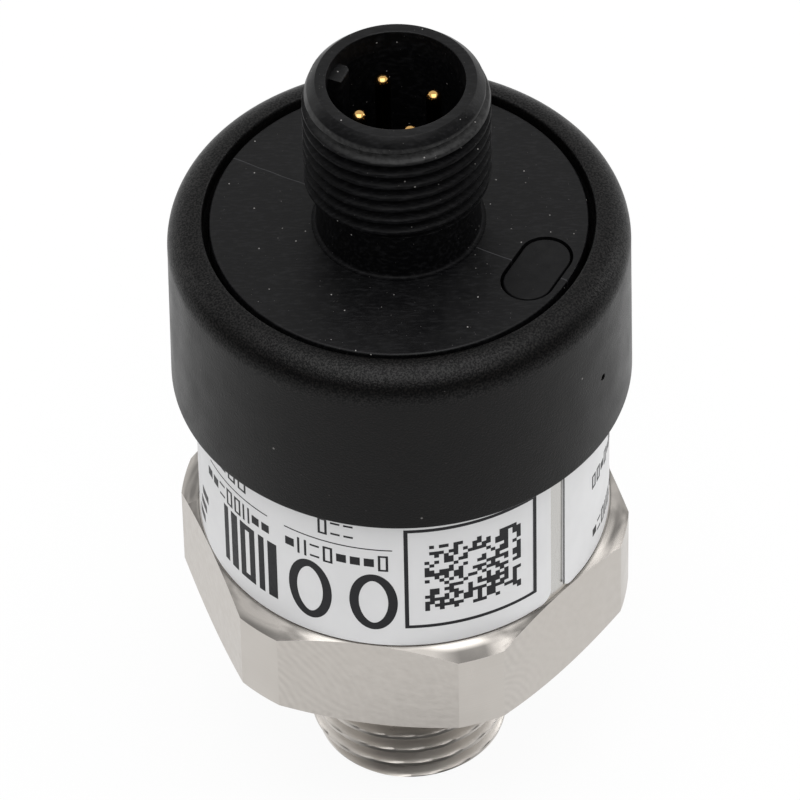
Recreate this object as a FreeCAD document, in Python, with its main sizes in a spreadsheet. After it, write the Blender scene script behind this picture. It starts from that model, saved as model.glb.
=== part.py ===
"""Pressure transmitter with a G 1/4 A stud, a 27 mm hexagon and an M12 plug connector.

The stud's end face lies at z = 0 and the connector points along +Z. All lengths are in
millimetres and all angles in degrees. Every size stands in the sheet "sizes", and each
piece takes its sketch dimensions and its place from that sheet by expressions.
"""
import FreeCAD
import Part
import Sketcher
import math
import operator
import os

Vector = FreeCAD.Vector

SIZES = (
    # alias, number, what it is
    ("hex_angle", -11.2, "turn of the wrench flats about the axis"),
    ("coding_angle", 154.5, "direction of the connector's coding key"),
    ("vent_angle", -28.6, "direction of the vent plug"),
    ("label_angle", -40.8, "direction of the label's first edge"),

    ("thread_diameter", 13.157, "G 1/4 A major diameter"),
    ("stud_length", 12.0, "end face to sealing face"),
    ("chamfer_width", 0.45, "chamfer on the stud's end"),
    ("relief_diameter", 11.2, "thread relief"),
    ("relief_length", 1.6, "thread relief below the sealing face"),
    ("stud_pitch", 1.337, "G 1/4 A pitch"),
    ("stud_groove", 0.8, "G 1/4 A crest to root"),
    ("collar_diameter", 18.9, "sealing collar"),
    ("collar_height", 2.1, "sealing face to hexagon"),
    ("seal_diameter", 16.5, "profile seal ring outside"),
    ("seal_thickness", 1.5, "profile seal ring"),
    ("seal_stand", 0.1, "seal ring proud of the sealing face"),
    ("seal_gap", 0.1, "seal ring clearance in its recess"),
    ("seal_groove_width", 0.765, "relief in the seal ring's face"),
    ("seal_groove_depth", 0.3, "relief in the seal ring's face"),

    ("hex_flats", 27.0, "wrench size"),
    ("corner_trim", 0.8285, "turned off each corner of the hexagon"),
    ("hex_height", 6.97, "hexagon"),
    ("hex_bevel", 0.73, "height of the turned bevel on the hexagon"),
    ("port_diameter", 4.0, "pressure port"),
    ("mouth_width", 0.4, "chamfer at the port's mouth"),

    ("spigot_height", 2.9, "spigot inside the case tube"),
    ("spigot_gap", 0.05, "spigot to case tube"),
    ("boss_diameter", 11.0, "boss under the cell flange"),
    ("boss_height", 2.0, "boss above the spigot"),
    ("cell_diameter", 7.0, "sensor cell"),
    ("cell_bore", 5.4, "pressure chamber inside the cell"),
    ("cell_seat_depth", 5.97, "seat of the cell below the boss's top"),
    ("cell_gap", 0.03, "sensor cell in its seat"),
    ("cell_floor", 0.2, "gap under the cell"),
    ("flange_diameter", 9.4, "cell flange diameter"),
    ("flange_thickness", 0.8, "cell flange"),
    ("cell_height", 3.4, "cell above its flange"),
    ("diaphragm", 0.35, "cell diaphragm thickness"),

    ("tube_inset", 0.15, "case tube inside the wrench flats"),
    ("tube_wall", 0.7, "case tube wall"),
    ("tube_collar", 2.8, "middle of the rolled groove to the tube's end"),
    ("bead_rise", 1.5, "cap's lower edge to the middle of the rolled groove"),
    ("bead_width", 1.2, "rolled groove"),
    ("bead_depth", 0.35, "rolled groove"),
    ("label_thickness", 0.1, "rating label film"),
    ("label_foot", 0.1, "label above the hexagon"),
    ("label_height", 12.3, "rating label"),
    ("opening_angle", 5.1, "angle left open between the label's edges"),
    ("label_corner", 0.9, "rounded corners of the label"),

    ("cap_clear", 0.2, "cap's lower edge above the label"),
    ("cap_wall", 1.46, "cap's wall at its lower edge"),
    ("cap_draft", 0.12, "radius lost up to the shoulder by draft"),
    ("cap_height", 13.23, "cap"),
    ("cap_shoulder", 2.0, "rounding of the cap's outer top edge"),
    ("cap_lip_round", 0.25, "rounding of the cap's mouth"),
    ("cap_land", 0.02, "flat left between the shoulder and the mouth"),
    ("cap_bore_gap", 0.08, "cap to case tube"),
    ("snap_depth", 0.25, "snap ridge inside the cap"),
    ("snap_width", 0.6, "snap ridge inside the cap"),
    ("gasket_thickness", 0.6, "flat gasket on the tube's end"),
    ("waist_step", 1.03, "cap inside above the gasket, in from its bore"),
    ("seat_ledge", 1.07, "flange that carries the insert, in from the disc's edge"),
    ("seat_thickness", 2.0, "flange that carries the insert"),
    ("seat_slope", 1.0, "slope under that flange"),

    ("disc_slot", 0.43, "open slot between the disc and the cap's mouth"),
    ("disc_thickness", 2.2, "connector insert disc"),
    ("disc_sink", 0.25, "disc below the cap's top"),
    ("disc_round", 0.2, "rounding of the disc's edge"),
    ("disc_gap", 0.08, "disc in its seat"),
    ("disc_guide", 0.9, "height of the close fit round the disc"),
    ("skirt_gap", 0.1, "skirt in the seat flange"),
    ("skirt_wall", 1.6, "skirt under the disc"),
    ("skirt_reach", 0.8, "skirt below the flange that carries the insert"),
    ("hook_reach", 0.35, "snap rim at the skirt's foot"),
    ("hook_height", 0.9, "snap rim at the skirt's foot"),
    ("ring_cord", 1.0, "O-ring cord"),
    ("ring_drop", 1.1, "disc underside to the middle of the O-ring"),

    ("neck_step", 0.73, "plug neck, in from the thread"),
    ("neck_length", 4.05, "disc to the start of the thread"),
    ("neck_round", 0.3, "rounding at the neck's foot"),
    ("plug_diameter", 11.9, "M12 x 1 major diameter"),
    ("runout", 0.45, "slope under the thread"),
    ("plug_pitch", 1.0, "M12 x 1 pitch"),
    ("plug_groove", 0.56, "M12 x 1 crest to root"),
    ("plug_lead", 0.58, "plain start of the plug's thread"),
    ("plug_height", 12.21, "disc to rim"),
    ("rim_step", 0.87, "edge of the flat rim, in from the thread"),
    ("rim_width", 0.7, "flat rim of the plug"),
    ("knee_step", 0.35, "knee between the two rim bevels, in from the thread"),
    ("knee_drop", 0.56, "rim to knee"),
    ("bevel_drop", 1.56, "rim to the top of the thread"),
    ("socket_depth", 9.2, "socket of the plug"),
    ("key_width", 1.5, "coding key"),
    ("key_reach", 0.9, "coding key into the socket"),
    ("key_root_depth", 0.225, "coding key into the shell"),
    ("key_drop", 0.9, "rim to the top of the key"),
    ("hub_diameter", 9.4, "hub under the disc that holds the contacts"),
    ("hub_length", 2.2, "hub under the disc"),

    ("pin_circle", 5.0, "pitch circle of the contacts"),
    ("pin_diameter", 1.0, "contact pin"),
    ("pin_drop", 1.9, "rim to the tip of a pin"),
    ("tip_flat", 0.05, "radius of the flat on a pin's tip"),
    ("pin_gap", 0.02, "pin in the insert"),
    ("pin_shoulder", 1.6, "shoulder diameter of a pin"),
    ("shoulder_height", 1.2, "shoulder of a pin"),
    ("tail_diameter", 0.7, "tail of a pin"),
    ("tail_stand", 0.6, "tail below the connector board"),
    ("tail_bare", 0.12, "end of a tail left free of solder"),

    ("vent_edge", 2.23, "disc's edge to the middle of the vent plug"),
    ("vent_length", 5.6, "vent plug, along the disc's edge"),
    ("vent_width", 3.14, "vent plug"),
    ("vent_gap", 0.18, "open slot round the vent plug"),
    ("vent_depth", 1.5, "pocket of the vent plug"),
    ("vent_sink", 0.04, "vent plug below the disc"),
    ("vent_hole", 1.2, "air hole under the membrane"),
    ("membrane_thickness", 0.2, "vent membrane"),

    ("carrier_gap", 0.3, "board carrier to case tube"),
    ("carrier_wall", 2.2, "board carrier ring"),
    ("carrier_height", 7.0, "board carrier ring"),
    ("ledge_height", 4.0, "carrier's foot to the sensor board"),
    ("ledge_thickness", 0.9, "ledge under the sensor board"),
    ("ledge_reach", 1.4, "ledge under the sensor board"),
    ("post_width", 3.4, "carrier post"),
    ("post_depth", 2.3, "carrier post"),
    ("slot_depth", 1.1, "board slot in a post"),
    ("slot_gap", 0.05, "board slot clearance"),
    ("board_thickness", 1.0, "circuit boards"),
    ("board_gap", 0.2, "sensor board to carrier"),
    ("board_hole_gap", 0.25, "sensor board to cell"),
    ("deck_gap", 0.2, "skirt's foot to the connector board"),
    ("post_seat", 0.45, "foot of a post on the carrier's ring"),
    ("amplifier_drop", 1.0, "amplifier board below the connector board"),
    ("hole_gap", 0.05, "board holes round the tails"),

    ("chip_width", 4.4, "signal chip"),
    ("chip_height", 1.1, "signal chip"),
    ("part_length", 1.6, "small chip parts"),
    ("part_width", 0.8, "small chip parts"),
    ("part_height", 0.6, "small chip parts"),
    ("header_length", 4.6, "board header"),
    ("header_width", 2.2, "board header"),
    ("header_height", 2.2, "board header"),
    ("header_gap", 0.4, "board header to the carrier's post"),
    ("header_pitch", 1.27, "header pins"),
    ("header_pin", 0.4, "header pins"),
    ("header_pin_length", 1.2, "header pins below the header"),
    ("ribbon_width", 5.0, "flex ribbon"),
    ("ribbon_thickness", 0.15, "flex ribbon"),
    ("ribbon_foot", 2.0, "ribbon soldered to the sensor board"),
    ("ribbon_rise", 2.6, "ribbon soldered to the amplifier board"),
    ("ribbon_knee", 0.8667, "ribbon's upper bend above the carrier"),
    ("ribbon_inset", 0.6, "ribbon's foot to the carrier"),
)

TOLERANCE = 1e-4

# Places in a thread, as shares of its pitch.
GROOVE_MIDDLE = 0.42
GROOVE_HALF = 0.4

FULL_TURN = 360
FLAT_COUNT = 6
CONTACT_COUNT = 4
POST_COUNT = 2


class Size:
    """A length or angle: its number, and the sheet expression that drives it."""

    def __init__(self, number, formula):
        self.number = number
        self.formula = formula

    def joined(self, other, sign, action):
        if not isinstance(other, Size):
            other = Size(other, repr(other))
        formula = "(%s %s %s)" % (self.formula, sign, other.formula)
        return Size(action(self.number, other.number), formula)

    def __add__(self, other):
        return self.joined(other, "+", operator.add)

    def __sub__(self, other):
        return self.joined(other, "-", operator.sub)

    def __mul__(self, other):
        return self.joined(other, "*", operator.mul)

    def __truediv__(self, other):
        return self.joined(other, "/", operator.truediv)

    def __neg__(self):
        return Size(-self.number, "(0 - %s)" % self.formula)

    def cosine(self):
        return Size(math.cos(math.radians(self.number)), "cos(%s * 1deg)" % self.formula)

    def sine(self):
        return Size(math.sin(math.radians(self.number)), "sin(%s * 1deg)" % self.formula)


ZERO = Size(0.0, "0")
TWELFTH = Size(30.0, "30")
EIGHTH = Size(45.0, "45")


class Sizes:
    """The sheet of driving dimensions, with each alias as an attribute."""

    def __init__(self, document, table):
        self.sheet = document.addObject("Spreadsheet::Sheet", "sizes")
        for row, (alias, number, meaning) in enumerate(table, 1):
            self.sheet.set("A%d" % row, meaning)
            self.sheet.set("B%d" % row, repr(number))
            self.sheet.setAlias("B%d" % row, alias)
            setattr(self, alias, Size(number, "sizes." + alias))


document = FreeCAD.newDocument("PressureTransmitter")
size = Sizes(document, SIZES)
document.recompute()
pieces = []


# ---- drawing helpers ---------------------------------------------------------------

def new_body(label, turn=None):
    """Start a body; a turn swings the finished piece about the main axis."""
    body = document.addObject("PartDesign::Body", label)
    body.Label = label
    if turn is not None:
        body.setExpression("Placement.Rotation.Angle", turn.formula)
    pieces.append(body)
    return body


def origin_feature(body, role):
    return [item for item in body.Origin.OriginFeatures if item.Role == role][0]


def new_sketch(body, name, plane="XZ_Plane", height=None):
    sketch = body.newObject("Sketcher::SketchObject", name)
    sketch.AttachmentSupport = [(origin_feature(body, plane), "")]
    sketch.MapMode = "FlatFace"
    if height is not None:
        sketch.setExpression("AttachmentOffset.Base.z", height.formula)
    return sketch


def hold(sketch, kind, owner, point, distance):
    """Fix one coordinate of a sketch point and bind it to the sheet."""
    rule = Sketcher.Constraint(kind, -1, 1, owner, point, distance.number)
    index = sketch.addConstraint(rule)
    sketch.setExpression("Constraints[%d]" % index, distance.formula)


def crowned_side(start, end):
    """Arc between two points, with its centre on the sketch's vertical axis."""
    square = start.x ** 2 - end.x ** 2 + start.y ** 2 - end.y ** 2
    centre = Vector(0, square / (2 * (start.y - end.y)), 0)
    first_angle = math.atan2(start.y - centre.y, start.x)
    last_angle = math.atan2(end.y - centre.y, end.x)
    whole = Part.Circle(centre, Vector(0, 0, 1), start.distanceToPoint(centre))
    return Part.ArcOfCircle(whole, first_angle, last_angle)


def outline(sketch, corners, crowned=None):
    """Closed outline through the corners, each held by its two distances.

    The side that starts at the corner given as crowned is an arc about the axis.
    """
    first = sketch.GeometryCount
    points = [Vector(across.number, up.number, 0) for across, up in corners]
    for index, point in enumerate(points):
        following = points[(index + 1) % len(points)]
        if corners[index] is crowned:
            side = sketch.addGeometry(crowned_side(point, following), False)
            hold(sketch, "DistanceX", side, 3, ZERO)
        else:
            sketch.addGeometry(Part.LineSegment(point, following), False)
    for index, (across, up) in enumerate(corners):
        following = (index + 1) % len(corners)
        link = Sketcher.Constraint("Coincident", first + index, 2, first + following, 1)
        sketch.addConstraint(link)
        hold(sketch, "DistanceX", first + index, 1, across)
        hold(sketch, "DistanceY", first + index, 1, up)


def circle(sketch, across, up, diameter):
    """Circle held by its centre and its diameter."""
    centre = Vector(across.number, up.number, 0)
    shape = Part.Circle(centre, Vector(0, 0, 1), diameter.number / 2)
    owner = sketch.addGeometry(shape, False)
    hold(sketch, "DistanceX", owner, 3, across)
    hold(sketch, "DistanceY", owner, 3, up)
    rule = Sketcher.Constraint("Diameter", owner, diameter.number)
    index = sketch.addConstraint(rule)
    sketch.setExpression("Constraints[%d]" % index, diameter.formula)


def revolved(body, name, corners, angle=None, crowned=None):
    """Turn an outline of (radius, height) corners about the main axis."""
    sketch = new_sketch(body, name + "_profile")
    outline(sketch, corners, crowned)
    feature = body.newObject("PartDesign::Revolution", name)
    feature.Profile = sketch
    feature.ReferenceAxis = (sketch, ["V_Axis"])
    feature.Angle = FULL_TURN
    if angle is not None:
        feature.setExpression("Angle", angle.formula)
    return feature


def extruded(body, name, sketch, length, kind="PartDesign::Pad", reverse=False, both=False):
    """Pad or pocket of a bound length."""
    feature = body.newObject(kind, name)
    feature.Profile = sketch
    feature.setExpression("Length", length.formula)
    feature.Reversed = reverse
    feature.Midplane = both
    return feature


def grooves(crest, depth, pitch, low, high):
    """Corners of a thread's V grooves: as many rings as fit between two heights."""
    count = int((high - low).number / pitch.number)
    corners = []
    for index in range(count):
        middle = low + pitch * (index + GROOVE_MIDDLE)
        half = pitch * GROOVE_HALF
        corners += [(crest, middle - half), (crest - depth, middle), (crest, middle + half)]
    return corners


def rectangle(low_across, high_across, low_up, high_up):
    return [(low_across, low_up), (high_across, low_up), (high_across, high_up), (low_across, high_up)]


def polar(body, name, feature, sketch, count):
    """Repeat a feature evenly round the sketch's normal."""
    pattern = body.newObject("PartDesign::PolarPattern", name)
    pattern.Originals = [feature]
    pattern.Axis = (sketch, ["N_Axis"])
    pattern.Angle = FULL_TURN
    pattern.Occurrences = count
    body.Tip = pattern
    return pattern


def ring_edges(feature, radius, height):
    """Names of the circular edges of one radius that lie at one height."""
    document.recompute()
    names = []
    for index, edge in enumerate(feature.Shape.Edges, 1):
        if not isinstance(edge.Curve, Part.Circle):
            continue
        same_radius = abs(edge.Curve.Radius - radius.number) < TOLERANCE
        same_height = abs(edge.Curve.Center.z - height.number) < TOLERANCE
        if same_radius and same_height:
            names.append("Edge%d" % index)
    return names


def rounded(body, name, feature, edges, radius):
    fillet = body.newObject("PartDesign::Fillet", name)
    fillet.Base = (feature, edges)
    fillet.setExpression("Radius", radius.formula)
    body.Tip = fillet
    return fillet


def placed(item, across, along, up):
    """Bind the place of a primitive or body to the sheet."""
    for axis, distance in zip("xyz", (across, along, up)):
        item.setExpression("Placement.Base." + axis, distance.formula)


def box(name, low, extent):
    """Box primitive from its low corner and its three sizes."""
    item = document.addObject("Part::Box", name)
    for side, distance in zip(("Length", "Width", "Height"), extent):
        item.setExpression(side, distance.formula)
    placed(item, *low)
    return item


# ---- heights and radii that several pieces share -----------------------------------

collar_foot = size.stud_length
hex_foot = collar_foot + size.collar_height
hex_top = hex_foot + size.hex_height
spigot_top = hex_top + size.spigot_height
boss_top = spigot_top + size.boss_height
flange_top = boss_top + size.flange_thickness
cell_top = flange_top + size.cell_height
cell_radius = size.cell_diameter / 2
cell_seat = boss_top - size.cell_seat_depth
wrench_flat = size.hex_flats / 2

tube_radius = wrench_flat - size.tube_inset
tube_inner = tube_radius - size.tube_wall

label_low = hex_top + size.label_foot
label_high = label_low + size.label_height
label_radius = tube_radius + size.label_thickness

cap_foot = label_high + size.cap_clear
cap_top = cap_foot + size.cap_height
cap_bore = tube_radius + size.cap_bore_gap
cap_radius = cap_bore + size.cap_wall
cap_upper_radius = cap_radius - size.cap_draft
lip_radius = cap_upper_radius - size.cap_shoulder - size.cap_land - size.cap_lip_round
bead_middle = cap_foot + size.bead_rise
tube_top = bead_middle + size.tube_collar
gasket_top = tube_top + size.gasket_thickness

disc_top = cap_top - size.disc_sink
disc_foot = disc_top - size.disc_thickness
disc_radius = lip_radius - size.disc_slot
seat_foot = disc_foot - size.seat_thickness
seat_radius = disc_radius - size.seat_ledge
skirt_radius = seat_radius - size.skirt_gap
skirt_inner = skirt_radius - size.skirt_wall
skirt_foot = seat_foot - size.skirt_reach
hub_foot = disc_foot - size.hub_length
rim = disc_top + size.plug_height
thread_foot = disc_top + size.neck_length
thread_top = rim - size.bevel_drop
plug_radius = size.plug_diameter / 2
rim_radius = plug_radius - size.rim_step
socket_radius = rim_radius - size.rim_width
socket_floor = rim - size.socket_depth
ring_middle = disc_foot - size.ring_drop

deck_top = skirt_foot - size.deck_gap
deck_foot = deck_top - size.board_thickness
tail_foot = deck_foot - size.tail_stand
ledge_top = spigot_top + size.ledge_height
sensor_board_top = ledge_top + size.board_thickness
carrier_top = spigot_top + size.carrier_height
carrier_radius = tube_inner - size.carrier_gap
carrier_inner = carrier_radius - size.carrier_wall
deck_radius = carrier_inner + size.post_seat
post_inner = deck_radius - size.post_depth
slot_bottom = post_inner + size.slot_depth
amplifier_top = deck_foot - size.amplifier_drop
half_board = size.board_thickness / 2
pin_tip = rim - size.pin_drop
shoulder_top = hub_foot + size.shoulder_height
vent_middle = disc_radius - size.vent_edge
vent_floor = disc_top - size.vent_depth
membrane_top = vent_floor + size.membrane_thickness


# ---- pressure side -----------------------------------------------------------------

def make_process_connection():
    """Turned stud, collar, hexagon blank and spigot; then six milled wrench flats."""
    body = new_body("process_connection", size.hex_angle)
    thread = size.thread_diameter / 2
    relief = size.relief_diameter / 2
    relief_foot = collar_foot - size.relief_length
    relief_slope = relief_foot + thread - relief
    recess = size.seal_diameter / 2 + size.seal_gap
    recess_top = collar_foot + size.seal_thickness - size.seal_stand
    sharp_corner = wrench_flat / TWELFTH.cosine()
    corner = sharp_corner - size.corner_trim
    spigot = tube_inner - size.spigot_gap
    boss = size.boss_diameter / 2
    seat = cell_radius + size.cell_gap
    port = size.port_diameter / 2
    bevel_start = (corner, hex_top - size.hex_bevel)
    corners = [
        (port + size.mouth_width, ZERO),
        (thread - size.chamfer_width, ZERO),
        (thread, size.chamfer_width),
        *grooves(thread, size.stud_groove, size.stud_pitch, size.chamfer_width, relief_foot),
        (thread, relief_foot),
        (relief, relief_slope),
        (relief, recess_top),
        (recess, recess_top),
        (recess, collar_foot),
        (size.collar_diameter / 2, collar_foot),
        (size.collar_diameter / 2, hex_foot),
        (corner, hex_foot),
        bevel_start,
        (wrench_flat, hex_top),
        (spigot, hex_top),
        (spigot, spigot_top),
        (boss, spigot_top),
        (boss, boss_top),
        (seat, boss_top),
        (seat, cell_seat),
        (port, cell_seat),
        (port, size.mouth_width),
    ]
    revolved(body, "turned_blank", corners, crowned=bevel_start)
    sketch = new_sketch(body, "flat_outline", "XY_Plane", hex_foot)
    outline(sketch, rectangle(-corner, corner, -sharp_corner, -wrench_flat))
    cut = extruded(body, "wrench_flat", sketch, size.hex_height, "PartDesign::Pocket", True)
    polar(body, "wrench_flats", cut, sketch, FLAT_COUNT)


def make_profile_seal_ring():
    body = new_body("profile_seal_ring")
    inner = size.relief_diameter / 2 + size.seal_gap
    outer = size.seal_diameter / 2
    foot = collar_foot - size.seal_stand
    top = foot + size.seal_thickness
    waist = size.seal_groove_width
    groove = size.seal_groove_depth
    revolved(body, "ring", [
        (inner, foot + groove),
        (inner + waist, foot + groove),
        (inner + waist + groove, foot),
        (outer, foot),
        (outer, top),
        (inner, top),
    ])


def make_sensor_cell():
    """Hat-shaped cell: a blind bore leaves the diaphragm at its top."""
    body = new_body("sensor_cell")
    foot = cell_seat + size.cell_floor
    bore = size.cell_bore / 2
    roof = cell_top - size.diaphragm
    revolved(body, "hat", [
        (bore, foot),
        (cell_radius, foot),
        (cell_radius, boss_top),
        (size.flange_diameter / 2, boss_top),
        (size.flange_diameter / 2, flange_top),
        (cell_radius, flange_top),
        (cell_radius, cell_top),
        (ZERO, cell_top),
        (ZERO, roof),
        (bore, roof),
    ])


# ---- case --------------------------------------------------------------------------

def make_case_tube():
    """Thin tube with a rolled groove that the cap snaps into."""
    body = new_body("case_tube")
    half = size.bead_width / 2
    slope = size.bead_depth
    outer = tube_radius
    inner = tube_inner
    revolved(body, "tube", [
        (inner, hex_top),
        (outer, hex_top),
        (outer, bead_middle - half - slope),
        (outer - slope, bead_middle - half),
        (outer - slope, bead_middle + half),
        (outer, bead_middle + half + slope),
        (outer, tube_top),
        (inner, tube_top),
        (inner, bead_middle + half + slope),
        (inner - slope, bead_middle + half),
        (inner - slope, bead_middle - half),
        (inner, bead_middle - half - slope),
    ])


def make_rating_label():
    """Film wrapped round the tube, open between its two edges, with round corners."""
    body = new_body("rating_label", size.label_angle)
    film = revolved(
        body, "film",
        rectangle(tube_radius, label_radius, label_low, label_high),
        angle=-size.opening_angle + FULL_TURN,
    )
    document.recompute()
    corners = []
    for index, edge in enumerate(film.Shape.Edges, 1):
        middle = edge.CenterOfMass
        radial = abs(math.hypot(middle.x, middle.y) - (tube_radius.number + label_radius.number) / 2)
        if edge.Length < size.label_thickness.number * 1.5 and radial < TOLERANCE:
            corners.append("Edge%d" % index)
    rounded(body, "round_corners", film, corners, size.label_corner)


def make_case_gasket():
    body = new_body("case_gasket")
    revolved(body, "gasket", rectangle(tube_inner, tube_radius, tube_top, gasket_top))


def make_head_cap():
    """Moulded cap: snap ridge below, flange for the insert, rounded shoulder on top."""
    body = new_body("head_cap")
    ridge = cap_bore - size.snap_depth
    ridge_half = size.snap_width / 2
    waist = cap_bore - size.waist_step
    guide = disc_radius + size.disc_gap
    guide_top = disc_foot + size.disc_guide
    lip = lip_radius
    shell = revolved(body, "shell", [
        (cap_bore, cap_foot),
        (cap_radius, cap_foot),
        (cap_upper_radius, cap_top),
        (lip, cap_top),
        (lip, guide_top + lip - guide),
        (guide, guide_top),
        (guide, disc_foot),
        (seat_radius, disc_foot),
        (seat_radius, seat_foot),
        (waist, seat_foot - size.seat_slope),
        (waist, gasket_top),
        (cap_bore, gasket_top),
        (cap_bore, bead_middle + ridge_half + size.snap_depth),
        (ridge, bead_middle + ridge_half),
        (ridge, bead_middle - ridge_half),
        (cap_bore, bead_middle - ridge_half - size.snap_depth),
    ])
    edges = ring_edges(shell, cap_upper_radius, cap_top)
    shoulder = rounded(body, "shoulder", shell, edges, size.cap_shoulder)
    edges = ring_edges(shoulder, lip, cap_top)
    rounded(body, "mouth", shoulder, edges, size.cap_lip_round)


# ---- connector ---------------------------------------------------------------------

def obround(sketch, centre, width, length):
    """Slot outline with round ends, its long way across the sketch's x axis."""
    radius = width / 2
    reach = (length - width) / 2
    left = Vector(centre.number - radius.number, 0, 0)
    right = Vector(centre.number + radius.number, 0, 0)
    lift = Vector(0, reach.number, 0)
    upper = Part.Circle(Vector(centre.number, reach.number, 0), Vector(0, 0, 1), radius.number)
    lower = Part.Circle(Vector(centre.number, -reach.number, 0), Vector(0, 0, 1), radius.number)
    first = sketch.GeometryCount
    sketch.addGeometry(Part.LineSegment(right - lift, right + lift), False)
    sketch.addGeometry(Part.ArcOfCircle(upper, 0, math.pi), False)
    sketch.addGeometry(Part.LineSegment(left + lift, left - lift), False)
    sketch.addGeometry(Part.ArcOfCircle(lower, math.pi, 2 * math.pi), False)
    for index in range(4):
        following = (index + 1) % 4
        link = Sketcher.Constraint("Tangent", first + index, 2, first + following, 1)
        sketch.addConstraint(link)
    hold(sketch, "DistanceX", first + 1, 3, centre)
    hold(sketch, "DistanceY", first + 1, 3, reach)
    hold(sketch, "DistanceX", first + 3, 3, centre)
    hold(sketch, "DistanceY", first + 3, 3, -reach)
    rule = Sketcher.Constraint("Radius", first + 1, radius.number)
    index = sketch.addConstraint(rule)
    sketch.setExpression("Constraints[%d]" % index, radius.formula)


def make_connector_insert():
    """One moulding: disc, snap skirt, contact hub and the plug shell with its key."""
    body = new_body("connector_insert", size.coding_angle)
    plug = plug_radius
    neck = plug - size.neck_step
    hub = size.hub_diameter / 2
    hook = skirt_radius + size.hook_reach
    hook_middle = skirt_foot + size.hook_height / 2
    hook_top = skirt_foot + size.hook_height
    groove = skirt_radius - size.ring_cord + size.skirt_gap
    groove_half = size.ring_cord / 2 + size.skirt_gap / 2
    moulding = revolved(body, "moulding", [
        (ZERO, hub_foot),
        (hub, hub_foot),
        (hub, disc_foot),
        (skirt_inner, disc_foot),
        (skirt_inner, skirt_foot),
        (skirt_radius, skirt_foot),
        (hook, hook_middle),
        (skirt_radius, hook_top),
        (skirt_radius, ring_middle - groove_half),
        (groove, ring_middle - groove_half),
        (groove, ring_middle + groove_half),
        (skirt_radius, ring_middle + groove_half),
        (skirt_radius, disc_foot),
        (disc_radius, disc_foot),
        (disc_radius, disc_top),
        (neck, disc_top),
        (neck, thread_foot - size.runout),
        (plug, thread_foot),
        *grooves(plug, size.plug_groove, size.plug_pitch, thread_foot + size.plug_lead, thread_top),
        (plug, thread_top),
        (plug - size.knee_step, rim - size.knee_drop),
        (rim_radius, rim),
        (socket_radius, rim),
        (socket_radius, socket_floor),
        (ZERO, socket_floor),
    ])

    key_outline = new_sketch(body, "key_outline", "XY_Plane", socket_floor)
    half_key = size.key_width / 2
    key_tip = socket_radius - size.key_reach
    key_root = socket_radius + size.key_root_depth
    outline(key_outline, rectangle(key_tip, key_root, -half_key, half_key))
    key_height = size.socket_depth - size.key_drop
    extruded(body, "coding_key", key_outline, key_height)

    holes = new_sketch(body, "contact_hole_outline", "XY_Plane", shoulder_top)
    pin_across = size.pin_circle / 2 * EIGHTH.cosine()
    circle(holes, pin_across, pin_across, size.pin_diameter + size.pin_gap * 2)
    hole_depth = socket_floor - shoulder_top
    hole = extruded(body, "contact_hole", holes, hole_depth, "PartDesign::Pocket", True)
    polar(body, "contact_holes", hole, holes, CONTACT_COUNT)

    seats = new_sketch(body, "shoulder_seat_outline", "XY_Plane", hub_foot)
    circle(seats, pin_across, pin_across, size.pin_shoulder + size.pin_gap * 2)
    seat = extruded(body, "shoulder_seat", seats, size.shoulder_height, "PartDesign::Pocket", True)
    polar(body, "shoulder_seats", seat, seats, CONTACT_COUNT)

    swing = size.vent_angle - size.coding_angle
    pocket_outline = new_sketch(body, "vent_pocket_outline", "XY_Plane", vent_floor)
    pocket_outline.setExpression("AttachmentOffset.Rotation.Angle", swing.formula)
    vent_gap = size.vent_gap * 2
    obround(pocket_outline, vent_middle, size.vent_width + vent_gap, size.vent_length + vent_gap)
    extruded(body, "vent_pocket", pocket_outline, size.vent_depth, "PartDesign::Pocket", True)

    air_outline = new_sketch(body, "air_hole_outline", "XY_Plane", disc_foot)
    air_outline.setExpression("AttachmentOffset.Rotation.Angle", swing.formula)
    air_middle = skirt_inner - size.vent_hole
    circle(air_outline, air_middle, ZERO, size.vent_hole)
    air_depth = vent_floor - disc_foot
    air = extruded(body, "air_hole", air_outline, air_depth, "PartDesign::Pocket", True)

    edges = ring_edges(air, disc_radius, disc_top)
    edge_round = rounded(body, "disc_edge", air, edges, size.disc_round)
    edges = ring_edges(edge_round, neck, disc_top)
    rounded(body, "neck_foot", edge_round, edges, size.neck_round)


def make_insert_seal_ring():
    body = new_body("insert_seal_ring")
    sketch = new_sketch(body, "cord_section")
    circle(sketch, seat_radius - size.ring_cord / 2, ring_middle, size.ring_cord)
    ring = body.newObject("PartDesign::Revolution", "ring")
    ring.Profile = sketch
    ring.ReferenceAxis = (sketch, ["V_Axis"])
    ring.Angle = FULL_TURN


def make_contact_pin(number):
    """Turned pin with a rounded tip, a shoulder in the hub and a solder tail."""
    body = new_body("contact_pin_%d" % number)
    pin = size.pin_diameter / 2
    shoulder = size.pin_shoulder / 2
    tail = size.tail_diameter / 2
    turned = revolved(body, "turned_pin", [
        (ZERO, tail_foot),
        (tail, tail_foot),
        (tail, hub_foot),
        (shoulder, hub_foot),
        (shoulder, shoulder_top),
        (pin, shoulder_top),
        (pin, pin_tip),
        (ZERO, pin_tip),
    ])
    edges = ring_edges(turned, pin, pin_tip)
    rounded(body, "round_tip", turned, edges, pin - size.tip_flat)
    direction = size.coding_angle + EIGHTH * (2 * number - 1)
    reach = size.pin_circle / 2
    placed(body, reach * direction.cosine(), reach * direction.sine(), ZERO)


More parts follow.
